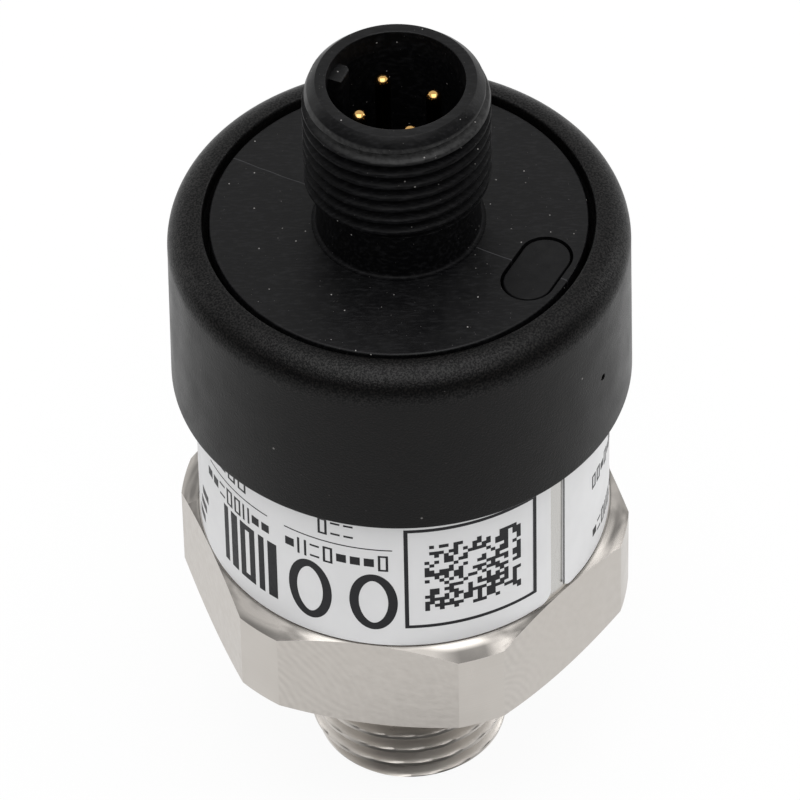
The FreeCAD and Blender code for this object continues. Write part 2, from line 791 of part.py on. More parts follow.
def make_solder_joints():
    """Four solder cones where the contact tails leave the connector board."""
    body = new_body("solder_joints", size.coding_angle + EIGHTH)
    body.AllowCompound = True
    tail = size.tail_diameter / 2
    wide = size.pin_shoulder / 2
    foot = tail_foot + size.tail_bare
    sketch = new_sketch(body, "cone_profile")
    sketch.setExpression("AttachmentOffset.Base.x", (size.pin_circle / 2).formula)
    outline(sketch, [
        (tail, foot),
        (tail + size.hole_gap, foot),
        (wide, deck_foot),
        (tail, deck_foot),
    ])
    cone = body.newObject("PartDesign::Revolution", "solder_cone")
    cone.Profile = sketch
    cone.ReferenceAxis = (sketch, ["V_Axis"])
    cone.Angle = FULL_TURN
    round_axis = new_sketch(body, "round_axis", "XY_Plane")
    polar(body, "solder_cones", cone, round_axis, CONTACT_COUNT)


def make_vent_plug():
    body = new_body("vent_plug", size.vent_angle)
    sketch = new_sketch(body, "plug_outline", "XY_Plane", membrane_top)
    obround(sketch, vent_middle, size.vent_width, size.vent_length)
    thickness = disc_top - size.vent_sink - membrane_top
    extruded(body, "plug", sketch, thickness)


def make_vent_membrane():
    body = new_body("vent_membrane", size.vent_angle)
    sketch = new_sketch(body, "membrane_outline", "XY_Plane", vent_floor)
    obround(sketch, vent_middle, size.vent_width, size.vent_length)
    extruded(body, "membrane", sketch, size.membrane_thickness)


# ---- electronics -------------------------------------------------------------------

def make_board_carrier():
    """Moulded ring on the spigot with a ledge and two slotted posts."""
    body = new_body("board_carrier")
    ledge_inner = carrier_inner - size.ledge_reach
    ledge_foot = ledge_top - size.ledge_thickness
    revolved(body, "ring", [
        (carrier_inner, spigot_top),
        (carrier_radius, spigot_top),
        (carrier_radius, carrier_top),
        (carrier_inner, carrier_top),
        (carrier_inner, ledge_top),
        (ledge_inner, ledge_top),
        (ledge_inner, ledge_foot),
        (carrier_inner, ledge_foot - size.ledge_reach),
    ])
    half_post = size.post_width / 2
    half_slot = half_board + size.slot_gap
    posts = new_sketch(body, "post_outline", "XY_Plane", carrier_top)
    outline(posts, [
        (deck_radius, -half_post),
        (deck_radius, half_post),
        (post_inner, half_post),
        (post_inner, half_slot),
        (slot_bottom, half_slot),
        (slot_bottom, -half_slot),
        (post_inner, -half_slot),
        (post_inner, -half_post),
    ])
    post = extruded(body, "post", posts, deck_foot - carrier_top)
    polar(body, "posts", post, posts, POST_COUNT)


def make_sensor_board():
    """Ring-shaped board round the cell."""
    body = new_body("sensor_board")
    inner = cell_radius + size.board_hole_gap
    outer = carrier_inner - size.board_gap
    revolved(body, "board", rectangle(inner, outer, ledge_top, sensor_board_top))


def make_amplifier_board():
    """Upright board held in the slots of the carrier's posts."""
    half_width = slot_bottom - size.slot_gap
    board = box(
        "amplifier_board",
        (-half_width, -half_board, carrier_top),
        (half_width * 2, size.board_thickness, amplifier_top - carrier_top),
    )
    pieces.append(board)


def make_connector_board():
    """Round board on the posts, drilled for the contact tails and the header pins."""
    body = new_body("connector_board", size.coding_angle)
    revolved(body, "board", rectangle(ZERO, deck_radius, deck_foot, deck_top))
    holes = new_sketch(body, "tail_hole_outline", "XY_Plane", deck_foot)
    across = size.pin_circle / 2 * EIGHTH.cosine()
    circle(holes, across, across, size.tail_diameter + size.hole_gap * 2)
    hole = extruded(body, "tail_hole", holes, size.board_thickness, "PartDesign::Pocket", True)
    polar(body, "tail_holes", hole, holes, CONTACT_COUNT)


def make_signal_chip():
    half = size.chip_width / 2
    middle = (carrier_top + amplifier_top) / 2
    chip = box(
        "signal_chip",
        (-half, -half_board - size.chip_height, middle - half),
        (size.chip_width, size.chip_height, size.chip_width),
    )
    pieces.append(chip)


def make_chip_capacitors():
    """Small parts in a row each side of the signal chip."""
    middle = (carrier_top + amplifier_top) / 2
    row = []
    for index in range(3):
        for side in (-1, 1):
            across = (size.chip_width / 2 + size.part_length) * side - size.part_length / 2
            up = middle + size.part_width * (2 * index - 2) - size.part_width / 2
            row.append(box(
                "capacitor_%d_%d" % (index, side + 1),
                (across, -half_board - size.part_height, up),
                (size.part_length, size.part_height, size.part_width),
            ))
    group = document.addObject("Part::Compound", "chip_capacitors")
    group.Links = row
    pieces.append(group)


def header_place():
    """Low corner of the header: on the amplifier board's face, under the deck."""
    return size.header_gap - post_inner, half_board, deck_foot - size.header_height


def make_board_header():
    across, along, up = header_place()
    header = box(
        "board_header",
        (across, along, up),
        (size.header_length, size.header_width, size.header_height),
    )
    pieces.append(header)


def make_header_pins():
    """Right-angle pins from the header down to pads on the amplifier board."""
    across, along, up = header_place()
    row = []
    for index in range(4):
        left = across + size.header_length / 2 + size.header_pitch * (index - 1.5)
        row.append(box(
            "header_pin_%d" % index,
            (left - size.header_pin / 2, along, up - size.header_pin_length),
            (size.header_pin, size.header_pin, size.header_pin_length),
        ))
    group = document.addObject("Part::Compound", "header_pins")
    group.Links = row
    pieces.append(group)


def make_flex_ribbon():
    """Flat ribbon from the sensor board, up and over to the amplifier board's face."""
    body = new_body("flex_ribbon")
    sketch = new_sketch(body, "ribbon_side", "YZ_Plane")
    film = size.ribbon_thickness
    outer = carrier_inner - size.ribbon_inset
    foot_end = outer - size.ribbon_foot
    face = half_board
    top = carrier_top + size.ribbon_rise
    knee = carrier_top + size.ribbon_knee
    outline(sketch, [
        (outer, sensor_board_top),
        (outer, sensor_board_top + film),
        (foot_end, sensor_board_top + film),
        (face + film, knee),
        (face + film, top),
        (face, top),
        (face, knee - film),
        (foot_end - film, sensor_board_top),
    ])
    extruded(body, "ribbon", sketch, size.ribbon_width, both=True)


# ---- build, check and write --------------------------------------------------------

def build_pieces():
    make_process_connection()
    make_profile_seal_ring()
    make_sensor_cell()
    make_case_tube()
    make_rating_label()
    make_case_gasket()
    make_head_cap()
    make_connector_insert()
    make_insert_seal_ring()
    for number in range(1, 5):
        make_contact_pin(number)
    make_solder_joints()
    make_vent_plug()
    make_vent_membrane()
    make_board_carrier()
    make_sensor_board()
    make_amplifier_board()
    make_connector_board()
    make_signal_chip()
    make_chip_capacitors()
    make_board_header()
    make_header_pins()
    make_flex_ribbon()
    document.recompute()


def check_document():
    """Stop if any feature failed or any piece is not a valid solid."""
    for item in document.Objects:
        if "Invalid" in item.State or "Error" in item.State:
            raise RuntimeError("feature failed: " + item.Name)
    for piece in pieces:
        if piece.Shape.isNull() or not piece.Shape.isValid() or not piece.Shape.Solids:
            raise RuntimeError("no valid solid: " + piece.Label)


def write_pieces():
    os.makedirs("parts", exist_ok=True)
    for piece in pieces:
        piece.Shape.exportStep(os.path.join("parts", piece.Label + ".step"))
        volume = piece.Shape.Volume
        print("%-20s %d solid(s) %10.2f mm3" % (piece.Label, len(piece.Shape.Solids), volume))


build_pieces()
check_document()
write_pieces()
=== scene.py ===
"""Pressure transmitter: finished pieces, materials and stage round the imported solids.

Every piece is modelled at its own place in the frame of the solids, in metres: the stud's
end face lies at z = 0, the plug points along +Z and -Y is the front.
"""
import math
import random

import bpy
from mathutils import Matrix, Vector


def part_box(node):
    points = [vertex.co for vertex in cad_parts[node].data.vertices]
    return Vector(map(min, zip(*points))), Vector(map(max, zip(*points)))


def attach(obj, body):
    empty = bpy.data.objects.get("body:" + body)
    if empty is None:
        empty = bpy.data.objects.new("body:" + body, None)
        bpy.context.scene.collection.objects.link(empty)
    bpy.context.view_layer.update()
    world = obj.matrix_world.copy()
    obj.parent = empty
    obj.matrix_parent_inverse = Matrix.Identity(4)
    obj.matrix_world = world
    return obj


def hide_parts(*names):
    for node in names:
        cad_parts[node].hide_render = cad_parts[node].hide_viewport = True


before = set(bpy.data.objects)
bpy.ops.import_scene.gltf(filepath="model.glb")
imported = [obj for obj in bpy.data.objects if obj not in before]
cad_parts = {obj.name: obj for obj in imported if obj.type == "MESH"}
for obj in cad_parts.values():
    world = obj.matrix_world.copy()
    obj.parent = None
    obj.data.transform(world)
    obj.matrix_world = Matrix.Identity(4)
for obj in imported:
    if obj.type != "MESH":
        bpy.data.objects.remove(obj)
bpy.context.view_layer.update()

bl_info = {
    "name": "Pressure transmitter",
    "version": (1, 0, 0),
    "blender": (4, 5, 0),
    "location": "View3D > Sidebar > Transmitter",
    "description": "Models and finishes a pressure transmitter round its solids",
    "category": "Add Mesh",
}

MM = 0.001
TURN = math.tau
QUARTER = math.pi / 2
STEPS = 256
SMALL_STEPS = 48
SNAP = 0.002 * MM
CREST_EDGE = 0.80
FLANK_WIDTH = 0.62
FLANK_ROUNDING = 0.4
DUST_COLOUR = (0.30, 0.29, 0.28)
DISC_SINK = 0.25 * MM


# ---- places read from the solids ---------------------------------------------------

def foot(node):
    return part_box(node)[0].z


def top(node):
    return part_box(node)[1].z


def reach(node):
    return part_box(node)[1].x


def middle(node):
    low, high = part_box(node)
    return (low + high) / 2


# ---- sizes and colours -------------------------------------------------------------

def length(name, description, default):
    return bpy.props.FloatProperty(
        name=name, description=description, default=default, unit="LENGTH", precision=5,
    )


def angle(name, description, degrees):
    return bpy.props.FloatProperty(
        name=name, description=description, default=math.radians(degrees), subtype="ANGLE",
    )


def colour(name, description, default):
    return bpy.props.FloatVectorProperty(
        name=name, description=description, default=default, size=3, subtype="COLOR",
        min=0.0, max=1.0,
    )


def share(name, description, default):
    return bpy.props.FloatProperty(
        name=name, description=description, default=default, subtype="FACTOR",
        min=0.0, max=1.0,
    )


def number(name, description, default):
    return bpy.props.FloatProperty(name=name, description=description, default=default)


class ConnectionSizes(bpy.types.PropertyGroup):
    """Stud, collar and hexagon."""

    thread_radius: length("Thread radius", "G 1/4 A crest", 6.5785 * MM)
    thread_pitch: length("Thread pitch", "G 1/4 A pitch", 1.337 * MM)
    thread_depth: length("Thread depth", "Crest to root", 0.74 * MM)
    thread_phase: number("Thread phase", "Where the thread starts, in turns", 0.493)
    thread_end: length("Thread end", "Upper end of the thread", 10.4 * MM)
    hex_flat: length("Wrench flat", "Axis to a wrench flat", 13.5 * MM)
    hex_corner: length("Hexagon corner", "Axis to a turned corner", 14.76 * MM)
    hex_foot: length("Hexagon foot", "Height of the hexagon's underside", 14.1 * MM)
    hex_bevel: length("Hexagon bevel", "Height of the turned bevel", 0.73 * MM)
    hex_under: length("Lower bevel", "Height the lower corners are cut back", 0.72 * MM)
    hex_turn: angle("Hexagon turn", "Turn of the wrench flats", -11.2)


class PlugSizes(bpy.types.PropertyGroup):
    """Threaded plug shell, its key and the contacts."""

    thread_radius: length("Thread radius", "M12 crest", 5.95 * MM)
    thread_pitch: length("Thread pitch", "M12 x 1 pitch", 1.0 * MM)
    thread_depth: length("Thread depth", "Crest to root", 0.56 * MM)
    thread_phase: number("Thread phase", "Where the thread starts, in turns", 0.55)
    neck_radius: length("Neck radius", "Plain neck under the thread", 5.22 * MM)
    socket_radius: length("Socket radius", "Socket of the plug", 4.38 * MM)
    socket_depth: length("Socket depth", "Socket of the plug", 9.2 * MM)
    key_turn: angle("Key direction", "Direction of the coding key", 154.5)
    key_width: length("Key width", "Coding key", 1.5 * MM)


class LabelSizes(bpy.types.PropertyGroup):
    """Label film and its print."""

    start: angle("First edge", "Direction of the film's first edge", -40.8)
    opening: angle("Opening", "Angle left open between the film's edges", 5.1)
    corner: length("Corner", "Rounded corners of the film", 0.9 * MM)
    ink: length("Ink", "Thickness of the print", 0.012 * MM)


class FinishColours(bpy.types.PropertyGroup):
    """Base colours of the finishes."""

    steel: colour("Steel", "Turned and milled steel", (0.575, 0.542, 0.505))
    case: colour("Case", "Drawn steel tube", (0.55, 0.54, 0.52))
    cap: colour("Cap", "Moulded cap", (0.0024, 0.0024, 0.0025))
    insert: colour("Insert", "Moulded connector insert", (0.0020, 0.0020, 0.0023))
    film: colour("Film", "Label film", (0.665, 0.665, 0.67))
    ink: colour("Ink", "Label print", (0.016, 0.016, 0.018))
    gold: colour("Gold", "Plated contacts", (0.56, 0.34, 0.12))
    rubber: colour("Rubber", "Seal rings", (0.012, 0.012, 0.012))


class StageSizes(bpy.types.PropertyGroup):
    """Camera, lamps and floor."""

    elevation: angle("Elevation", "Camera above the horizon", 46.107)
    distance: length("Distance", "Camera to the middle of the part", 0.526884)
    roll: angle("Roll", "Turn of the camera about its axis", -1.2264)
    lens: number("Lens", "Focal length in millimetres", 365.004)
    aim_height: length("Aim height", "Height that the camera looks at", 30.056 * MM)
    aim_across: length("Aim across", "Sideways place that the camera looks at", -0.165 * MM)
    ambient: share("Ambient", "Light of the surroundings on matt surfaces", 0.55)
    haze: share("Floor glow", "Share of the floor that is plain white to the camera", 0.93)
    floor: colour("Floor", "Plain pale floor", (0.86, 0.86, 0.86))


# ---- modelling ---------------------------------------------------------------------

def deselect():
    bpy.ops.object.select_all(action="DESELECT")


def adopt(name):
    """Name the active object, put its origin at the world's and return it."""
    piece = bpy.context.object
    piece.name = name
    piece.data.name = name
    bpy.ops.object.transform_apply(location=True, rotation=True, scale=True)
    return piece


def activate(piece):
    """Make a piece the active object and the only one selected."""
    deselect()
    piece.select_set(True)
    bpy.context.view_layer.objects.active = piece


def edit(piece):
    """Open a piece for editing with nothing else selected."""
    activate(piece)
    bpy.ops.object.mode_set(mode="EDIT")
    bpy.ops.mesh.select_mode(type="VERT")


def close():
    bpy.ops.object.mode_set(mode="OBJECT")


def take_all():
    """Select all of the edited piece."""
    bpy.ops.mesh.select_all(action="SELECT")


def pick(piece, kind, test):
    """Select the vertices, edges or faces of the edited piece that pass a test."""
    bpy.ops.mesh.select_mode(type={"vertices": "VERT", "edges": "EDGE", "polygons": "FACE"}[kind])
    bpy.ops.mesh.select_all(action="DESELECT")
    close()
    found = 0
    for item in getattr(piece.data, kind):
        item.select = bool(test(item))
        found += item.select
    bpy.ops.object.mode_set(mode="EDIT")
    return found


def arc_points(before, corner, after, radius, steps):
    """Points of a rounding that takes the place of one corner."""
    here = Vector(corner)
    to_before = (Vector(before) - here).normalized()
    to_after = (Vector(after) - here).normalized()
    half = to_before.angle(to_after) / 2
    centre = here + (to_before + to_after).normalized() * (radius / math.sin(half))
    first = here + to_before * (radius / math.tan(half)) - centre
    last = here + to_after * (radius / math.tan(half)) - centre
    sweep = first.angle(last)
    points = []
    for step in range(steps + 1):
        part = step / steps
        weight_first = math.sin((1 - part) * sweep) / math.sin(sweep)
        weight_last = math.sin(part * sweep) / math.sin(sweep)
        points.append(tuple(centre + first * weight_first + last * weight_last))
    return points


def eased(corners, steps=5):
    """Outline points from corners given as (radius, height) or (radius, height, rounding)."""
    points = []
    count = len(corners)
    for index, corner in enumerate(corners):
        if len(corner) == 2:
            points.append(tuple(corner))
            continue
        before = corners[index - 1][:2]
        after = corners[(index + 1) % count][:2]
        points += arc_points(before, corner[:2], after, corner[2], steps)
    return points


def ruled(start, end, spacing):
    """Evenly spaced points from one outline point to another, without the last."""
    span = math.dist(start, end)
    count = max(1, round(span / spacing))
    return [
        (start[0] + (end[0] - start[0]) * step / count, start[1] + (end[1] - start[1]) * step / count)
        for step in range(count)
    ]


def outline(name, points, closed):
    """Draw a half section point by point with extruded vertices, and stay in edit mode."""
    deselect()
    across, up = points[0]
    bpy.ops.mesh.primitive_plane_add(size=MM, location=(across, 0, up))
    piece = adopt(name)
    edit(piece)
    take_all()
    bpy.ops.mesh.merge(type="CENTER")
    for (across, up), (next_across, next_up) in zip(points, points[1:]):
        move = (next_across - across, 0, next_up - up)
        bpy.ops.mesh.extrude_region_move(TRANSFORM_OT_translate={"value": move})
    if closed:
        last = len(points) - 1
        pick(piece, "vertices", lambda vertex: vertex.index in (0, last))
        bpy.ops.mesh.edge_face_add()
    return piece


def turned(name, corners, steps=STEPS, closed=True, easing=5):
    """Spin a half section into a closed body of revolution."""
    piece = outline(name, eased(corners, easing), closed)
    take_all()
    bpy.ops.mesh.spin(steps=steps, angle=TURN, center=(0, 0, 0), axis=(0, 0, 1))
    weld()
    close()
    return piece


def weld():
    """Merge what lies together and turn the faces outwards."""
    take_all()
    bpy.ops.mesh.remove_doubles(threshold=SNAP)
    bpy.ops.mesh.normals_make_consistent(inside=False)


def smooth(piece, degrees=30.0):
    activate(piece)
    bpy.ops.object.shade_smooth_by_angle(angle=math.radians(degrees))


def apply_modifier(piece, kind, **settings):
    """Add a modifier, set it up and apply it."""
    activate(piece)
    modifier = piece.modifiers.new(kind.lower(), kind)
    for key, value in settings.items():
        setattr(modifier, key, value)
    bpy.ops.object.modifier_apply(modifier=modifier.name)


def cut_away(piece, tool):
    """Cut one piece out of another and delete it."""
    apply_modifier(piece, "BOOLEAN", operation="DIFFERENCE", solver="EXACT", object=tool)
    bpy.data.objects.remove(tool)


def press_thread(piece, crest, depth, pitch, phase, low, high):
    """Press a right-hand helical groove into the dense rings between two heights."""
    for vertex in piece.data.vertices:
        place = vertex.co
        across = math.hypot(place.x, place.y)
        if not low <= place.z <= high or across < crest - depth:
            continue
        turn = math.atan2(place.y, place.x) / TURN
        part = (place.z / pitch - turn + phase) % 1.0
        limit = crest - depth * thread_form(abs(part - 0.5) * 2)
        if across > limit:
            place.x *= limit / across
            place.y *= limit / across


def thread_form(part):
    """Depth share of a thread: 0 on the flat crest (part 1), 1 in the narrow root (part 0)."""
    flank = min(1.0, max(0.0, (CREST_EDGE - part) / FLANK_WIDTH))
    rounded = flank * (3 - 2 * flank)
    return flank * (1 - FLANK_ROUNDING + FLANK_ROUNDING * rounded)


def obround(name, width, span, out, direction, low, high):
    """Prism with round ends, its long side across the given direction."""
    deselect()
    half_step = TURN / SMALL_STEPS / 2
    bpy.ops.mesh.primitive_circle_add(
        vertices=SMALL_STEPS, radius=width / 2, fill_type="NGON",
        location=(0, 0, low), rotation=(0, 0, half_step),
    )
    piece = adopt(name)
    edit(piece)
    stretch = (span - width) / 2
    for side in (1, -1):
        pick(piece, "vertices", lambda vertex: vertex.co.y * side > 0)
        bpy.ops.transform.translate(value=(0, stretch * side, 0))
    take_all()
    bpy.ops.mesh.extrude_region_move(TRANSFORM_OT_translate={"value": (0, 0, high - low)})
    take_all()
    bpy.ops.mesh.normals_make_consistent(inside=False)
    close()
    piece.data.transform(Matrix.Rotation(direction, 4, "Z") @ Matrix.Translation((out, 0, 0)))
    return piece


def finish_piece(piece, slot, materials, *nodes):
    """Give a piece its materials, hang it on the body and hide the solids it stands for; its slot name is not
    used.
    """
    piece.data.materials.clear()
    for material in materials:
        piece.data.materials.append(material)
    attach(piece, "root")
    if nodes:
        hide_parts(*nodes)


def place_slot(piece, index, test):
    """Give the faces that pass a test another of the piece's materials."""
    for face in piece.data.polygons:
        if test(face):
            face.material_index = index


# ---- materials ---------------------------------------------------------------------

class Finish:
    """A material while its nodes are being joined."""

    def __init__(self, name, base, roughness, metallic=0.0, specular=0.5):
        self.material = bpy.data.materials.new("finish_" + name)
        self.material.use_nodes = True
        self.tree = self.material.node_tree
        self.shader = self.tree.nodes["Principled BSDF"]
        self.shader.inputs["Base Color"].default_value = (*base, 1)
        self.shader.inputs["Roughness"].default_value = roughness
        self.shader.inputs["Metallic"].default_value = metallic
        self.shader.inputs["Specular IOR Level"].default_value = specular
        self.material.diffuse_color = (*base, 1)
        self.base = base
        self.heights = []

    def node(self, kind, **settings):
        item = self.tree.nodes.new(kind)
        for key, value in settings.items():
            setattr(item, key, value)
        return item

    def feed(self, socket, value):
        if isinstance(value, bpy.types.NodeSocket):
            self.tree.links.new(value, socket)
        else:
            socket.default_value = value

    def coordinates(self, stretch=(1, 1, 1), turn=0.0):
        """Object coordinates in millimetres, turned about Z and then stretched."""
        source = self.node("ShaderNodeTexCoord").outputs["Object"]
        mapping = self.node("ShaderNodeMapping")
        mapping.inputs["Rotation"].default_value = (0, 0, turn)
        mapping.inputs["Scale"].default_value = tuple(1000.0 * side for side in stretch)
        self.feed(mapping.inputs["Vector"], source)
        return mapping.outputs["Vector"]

    def parts(self, vector):
        split = self.node("ShaderNodeSeparateXYZ")
        self.feed(split.inputs[0], vector)
        return split.outputs

    def math(self, operation, first, second=0.0):
        item = self.node("ShaderNodeMath", operation=operation)
        self.feed(item.inputs[0], first)
        self.feed(item.inputs[1], second)
        return item.outputs[0]

    def times(self, first, second):
        return self.math("MULTIPLY", first, second)

    def off_direction(self, turn, degrees):
        """Angle between the shaded point's direction and a fixed one, in radians."""
        return self.math("ABSOLUTE", self.math("ADD", turn, -math.radians(degrees)))

    def spread(self, value, low, high, out_low=0.0, out_high=1.0):
        """Map one range onto another, clamped."""
        item = self.node("ShaderNodeMapRange")
        self.feed(item.inputs["Value"], value)
        for key, bound in zip(("From Min", "From Max", "To Min", "To Max"), (low, high, out_low, out_high)):
            item.inputs[key].default_value = bound
        return item.outputs["Result"]

    def noise(self, scale, detail=3.0, vector=None, roughness=0.55, distortion=0.0):
        item = self.node("ShaderNodeTexNoise")
        self.feed(item.inputs["Vector"], vector or self.coordinates())
        item.inputs["Scale"].default_value = scale
        item.inputs["Detail"].default_value = detail
        item.inputs["Roughness"].default_value = roughness
        item.inputs["Distortion"].default_value = distortion
        return item.outputs["Fac"]

    def cylinder(self):
        """Radius, angle and height of the shaded point, in millimetres and radians."""
        x, y, z = self.parts(self.coordinates())
        radius = self.math("SQRT", self.math("ADD", self.times(x, x), self.times(y, y)))
        return radius, self.math("ARCTAN2", y, x), z

    def tint(self, factor, other):
        """Blend the colour so far towards another by a factor."""
        item = self.node("ShaderNodeMix", data_type="RGBA")
        socket = self.shader.inputs["Base Color"]
        before = socket.links[0].from_socket if socket.links else (*self.base, 1)
        self.feed(item.inputs[0], factor)
        self.feed(item.inputs[6], before)
        self.feed(item.inputs[7], (*other, 1))
        self.feed(socket, item.outputs[2])

    def vary_roughness(self, value, low, high):
        self.feed(self.shader.inputs["Roughness"], self.spread(value, 0.25, 0.75, low, high))

    def raise_by(self, height, depth_mm):
        """Add a relief whose range of 0 to 1 is this many millimetres deep."""
        self.heights.append(self.times(height, depth_mm))

    def specks(self, scale, size, density):
        """Scattered small spots: 1 on a spot, 0 elsewhere."""
        cells = self.node("ShaderNodeTexVoronoi")
        self.feed(cells.inputs["Vector"], self.coordinates())
        cells.inputs["Scale"].default_value = scale
        spot = self.spread(cells.outputs["Distance"], size, size * 0.6)
        chosen = self.math("LESS_THAN", self.parts(cells.outputs["Color"])[0], density)
        return self.times(spot, chosen)

    def dust(self, scale, size, density, strength):
        """Pale dust lying on the surface, in larger and finer grains."""
        grains = self.specks(scale, size, density)
        fine = self.specks(scale * 2.7, size * 0.9, density * 0.6)
        both = self.math("MAXIMUM", grains, self.times(fine, 0.6))
        self.tint(self.times(both, strength), DUST_COLOUR)
        self.raise_by(both, 0.01)

    def done(self):
        """Join the reliefs into one bump and return the material."""
        if self.heights:
            total = self.heights[0]
            for height in self.heights[1:]:
                total = self.math("ADD", total, height)
            bump = self.node("ShaderNodeBump")
            bump.inputs["Strength"].default_value = 1.0
            bump.inputs["Distance"].default_value = MM
            self.feed(bump.inputs["Height"], total)
            self.feed(self.shader.inputs["Normal"], bump.outputs["Normal"])
        return self.material


def cap_plastic(colours):
    """Fine-textured black moulding with a grainy sheen."""
    finish = Finish("cap_plastic", colours.cap, 0.36, specular=0.13)
    grain = finish.noise(8.0, 2.0)
    finish.raise_by(grain, 0.022)
    crown = finish.spread(finish.cylinder()[2], 44.4, 45.3, 0.0, 0.11)
    sparkle = finish.times(crown, finish.spread(grain, 0.40, 0.60, -0.5, 0.5))
    finish.feed(finish.shader.inputs["Specular IOR Level"], finish.math("ADD", sparkle, 0.125))
    finish.vary_roughness(finish.noise(0.5, 3.0), 0.30, 0.40)
    finish.tint(finish.spread(grain, 0.50, 0.66, 0.0, 0.6), (0.0075, 0.0062, 0.0052))
    finish.dust(0.45, 0.04, 0.5, 0.5)
    return finish.done()


def insert_plastic(colours, mould_line):
    """Black moulding with fine streaks, a mould line or a painted lit band near the rim, and dust."""
    rim = top("connector_insert") / MM
    name = "insert_plastic_disc" if mould_line else "insert_plastic"
    finish = Finish(name, colours.insert, 0.38, specular=0.14)
    streaks = finish.noise(1.0, 5.0, finish.coordinates((1.8, 6.5, 4.0), 0.25))
    finish.raise_by(streaks, 0.008)
    finish.raise_by(finish.noise(11.0, 2.0), 0.003)
    finish.vary_roughness(finish.noise(0.7, 4.0), 0.30, 0.50)
    finish.tint(finish.spread(streaks, 0.48, 0.72, 0.0, 0.5), (0.014, 0.014, 0.015))
    if mould_line:
        x, y, _ = finish.parts(finish.coordinates(turn=math.radians(29.0)))
        bend = finish.times(finish.math("SUBTRACT", finish.noise(0.35, 1.0), 0.5), 0.25)
        off_line = finish.math("ABSOLUTE", finish.math("ADD", y, bend))
        line = finish.spread(off_line, 0.05, 0.01)
        finish.raise_by(line, 0.012)
        finish.tint(finish.times(line, 0.45), (0.06, 0.06, 0.065))
    else:
        radius, _, height = finish.cylinder()
        dull = finish.spread(height, rim - 1.7, rim - 1.5, 0.05, 0.15)
        finish.feed(finish.shader.inputs["Specular IOR Level"], dull)
        # Painted light: a lighter, patchy band on the outside, from about 1.6 to 0.6 mm under the rim.
        above = finish.spread(height, rim - 1.75, rim - 1.45)
        below = finish.spread(height, rim - 0.55, rim - 0.7)
        outside = finish.spread(radius, 5.2, 5.4)
        painted_lit_band = finish.times(finish.times(above, below), outside)
        uneven = finish.times(painted_lit_band, finish.spread(finish.noise(3.2, 5.0), 0.36, 0.64, 0.25, 1.0))
        finish.tint(uneven, (0.024, 0.024, 0.024))
    finish.dust(1.3, 0.08, 0.6, 0.8)
    return finish.done()


def vent_plastic(colours):
    finish = Finish("vent_plastic", colours.insert, 0.6, specular=0.15)
    finish.raise_by(finish.noise(9.0, 3.0), 0.008)
    finish.vary_roughness(finish.noise(1.2, 3.0), 0.5, 0.7)
    finish.dust(0.9, 0.05, 0.6, 0.5)
    return finish.done()


def turned_steel(colours, name="turned_steel", roughness=(0.26, 0.40), ring_depth=0.0025):
    """Turned steel with fine tool rings about the axis."""
    finish = Finish(name, colours.steel, 0.24, metallic=1.0)
    radius, _, height = finish.cylinder()
    path = finish.math("ADD", radius, height)
    line = finish.node("ShaderNodeCombineXYZ")
    finish.feed(line.inputs[0], path)
    rings = finish.noise(9.0, 3.0, line.outputs[0], 0.7)
    finish.raise_by(rings, ring_depth)
    cloud = finish.noise(0.45, 4.0)
    finish.vary_roughness(cloud, *roughness)
    finish.tint(finish.spread(rings, 0.35, 0.7, 0.0, 0.35), (0.47, 0.45, 0.42))
    return finish.done()


def bevel_steel(colours):
    """Smooth turned bevel: patches and one spot painted darker as reflections, and painted shade along its
    inner edge at the foot of the case tube.
    """
    finish = Finish("bevel_steel", colours.steel, 0.2, metallic=1.0)
    radius, turn, _ = finish.cylinder()
    around = finish.node("ShaderNodeCombineXYZ")
    finish.feed(around.inputs[0], finish.times(turn, 3.0))
    finish.feed(around.inputs[1], finish.times(radius, 0.9))
    patches = finish.noise(1.0, 2.0, around.outputs[0], distortion=0.6)
    # Painted reflections: patches round the ring are tinted much darker, as a polished bevel's reflections;
    # roughness follows the patches too.
    painted_reflection_colour = tuple(side * 0.22 for side in colours.steel)
    finish.tint(finish.spread(patches, 0.62, 0.38, 0.35, 0.9), painted_reflection_colour)
    # Painted reflection: one darker spot on the outer part of the bevel, about -73 degrees round.
    off = finish.off_direction(turn, -73)
    outer = finish.spread(radius, 13.8, 14.1)
    painted_dark_reflection = finish.times(finish.spread(off, 0.18, 0.06), outer)
    finish.tint(finish.times(painted_dark_reflection, 0.85), (0.05, 0.047, 0.044))
    # Painted shade: a darker line along the bevel's inner edge, at the foot of the case tube.
    finish.tint(finish.times(finish.spread(radius, 13.62, 13.52), 0.7), (0.06, 0.058, 0.055))
    finish.raise_by(finish.noise(6.0, 3.0), 0.001)
    finish.vary_roughness(patches, 0.14, 0.26)
    return finish.done()


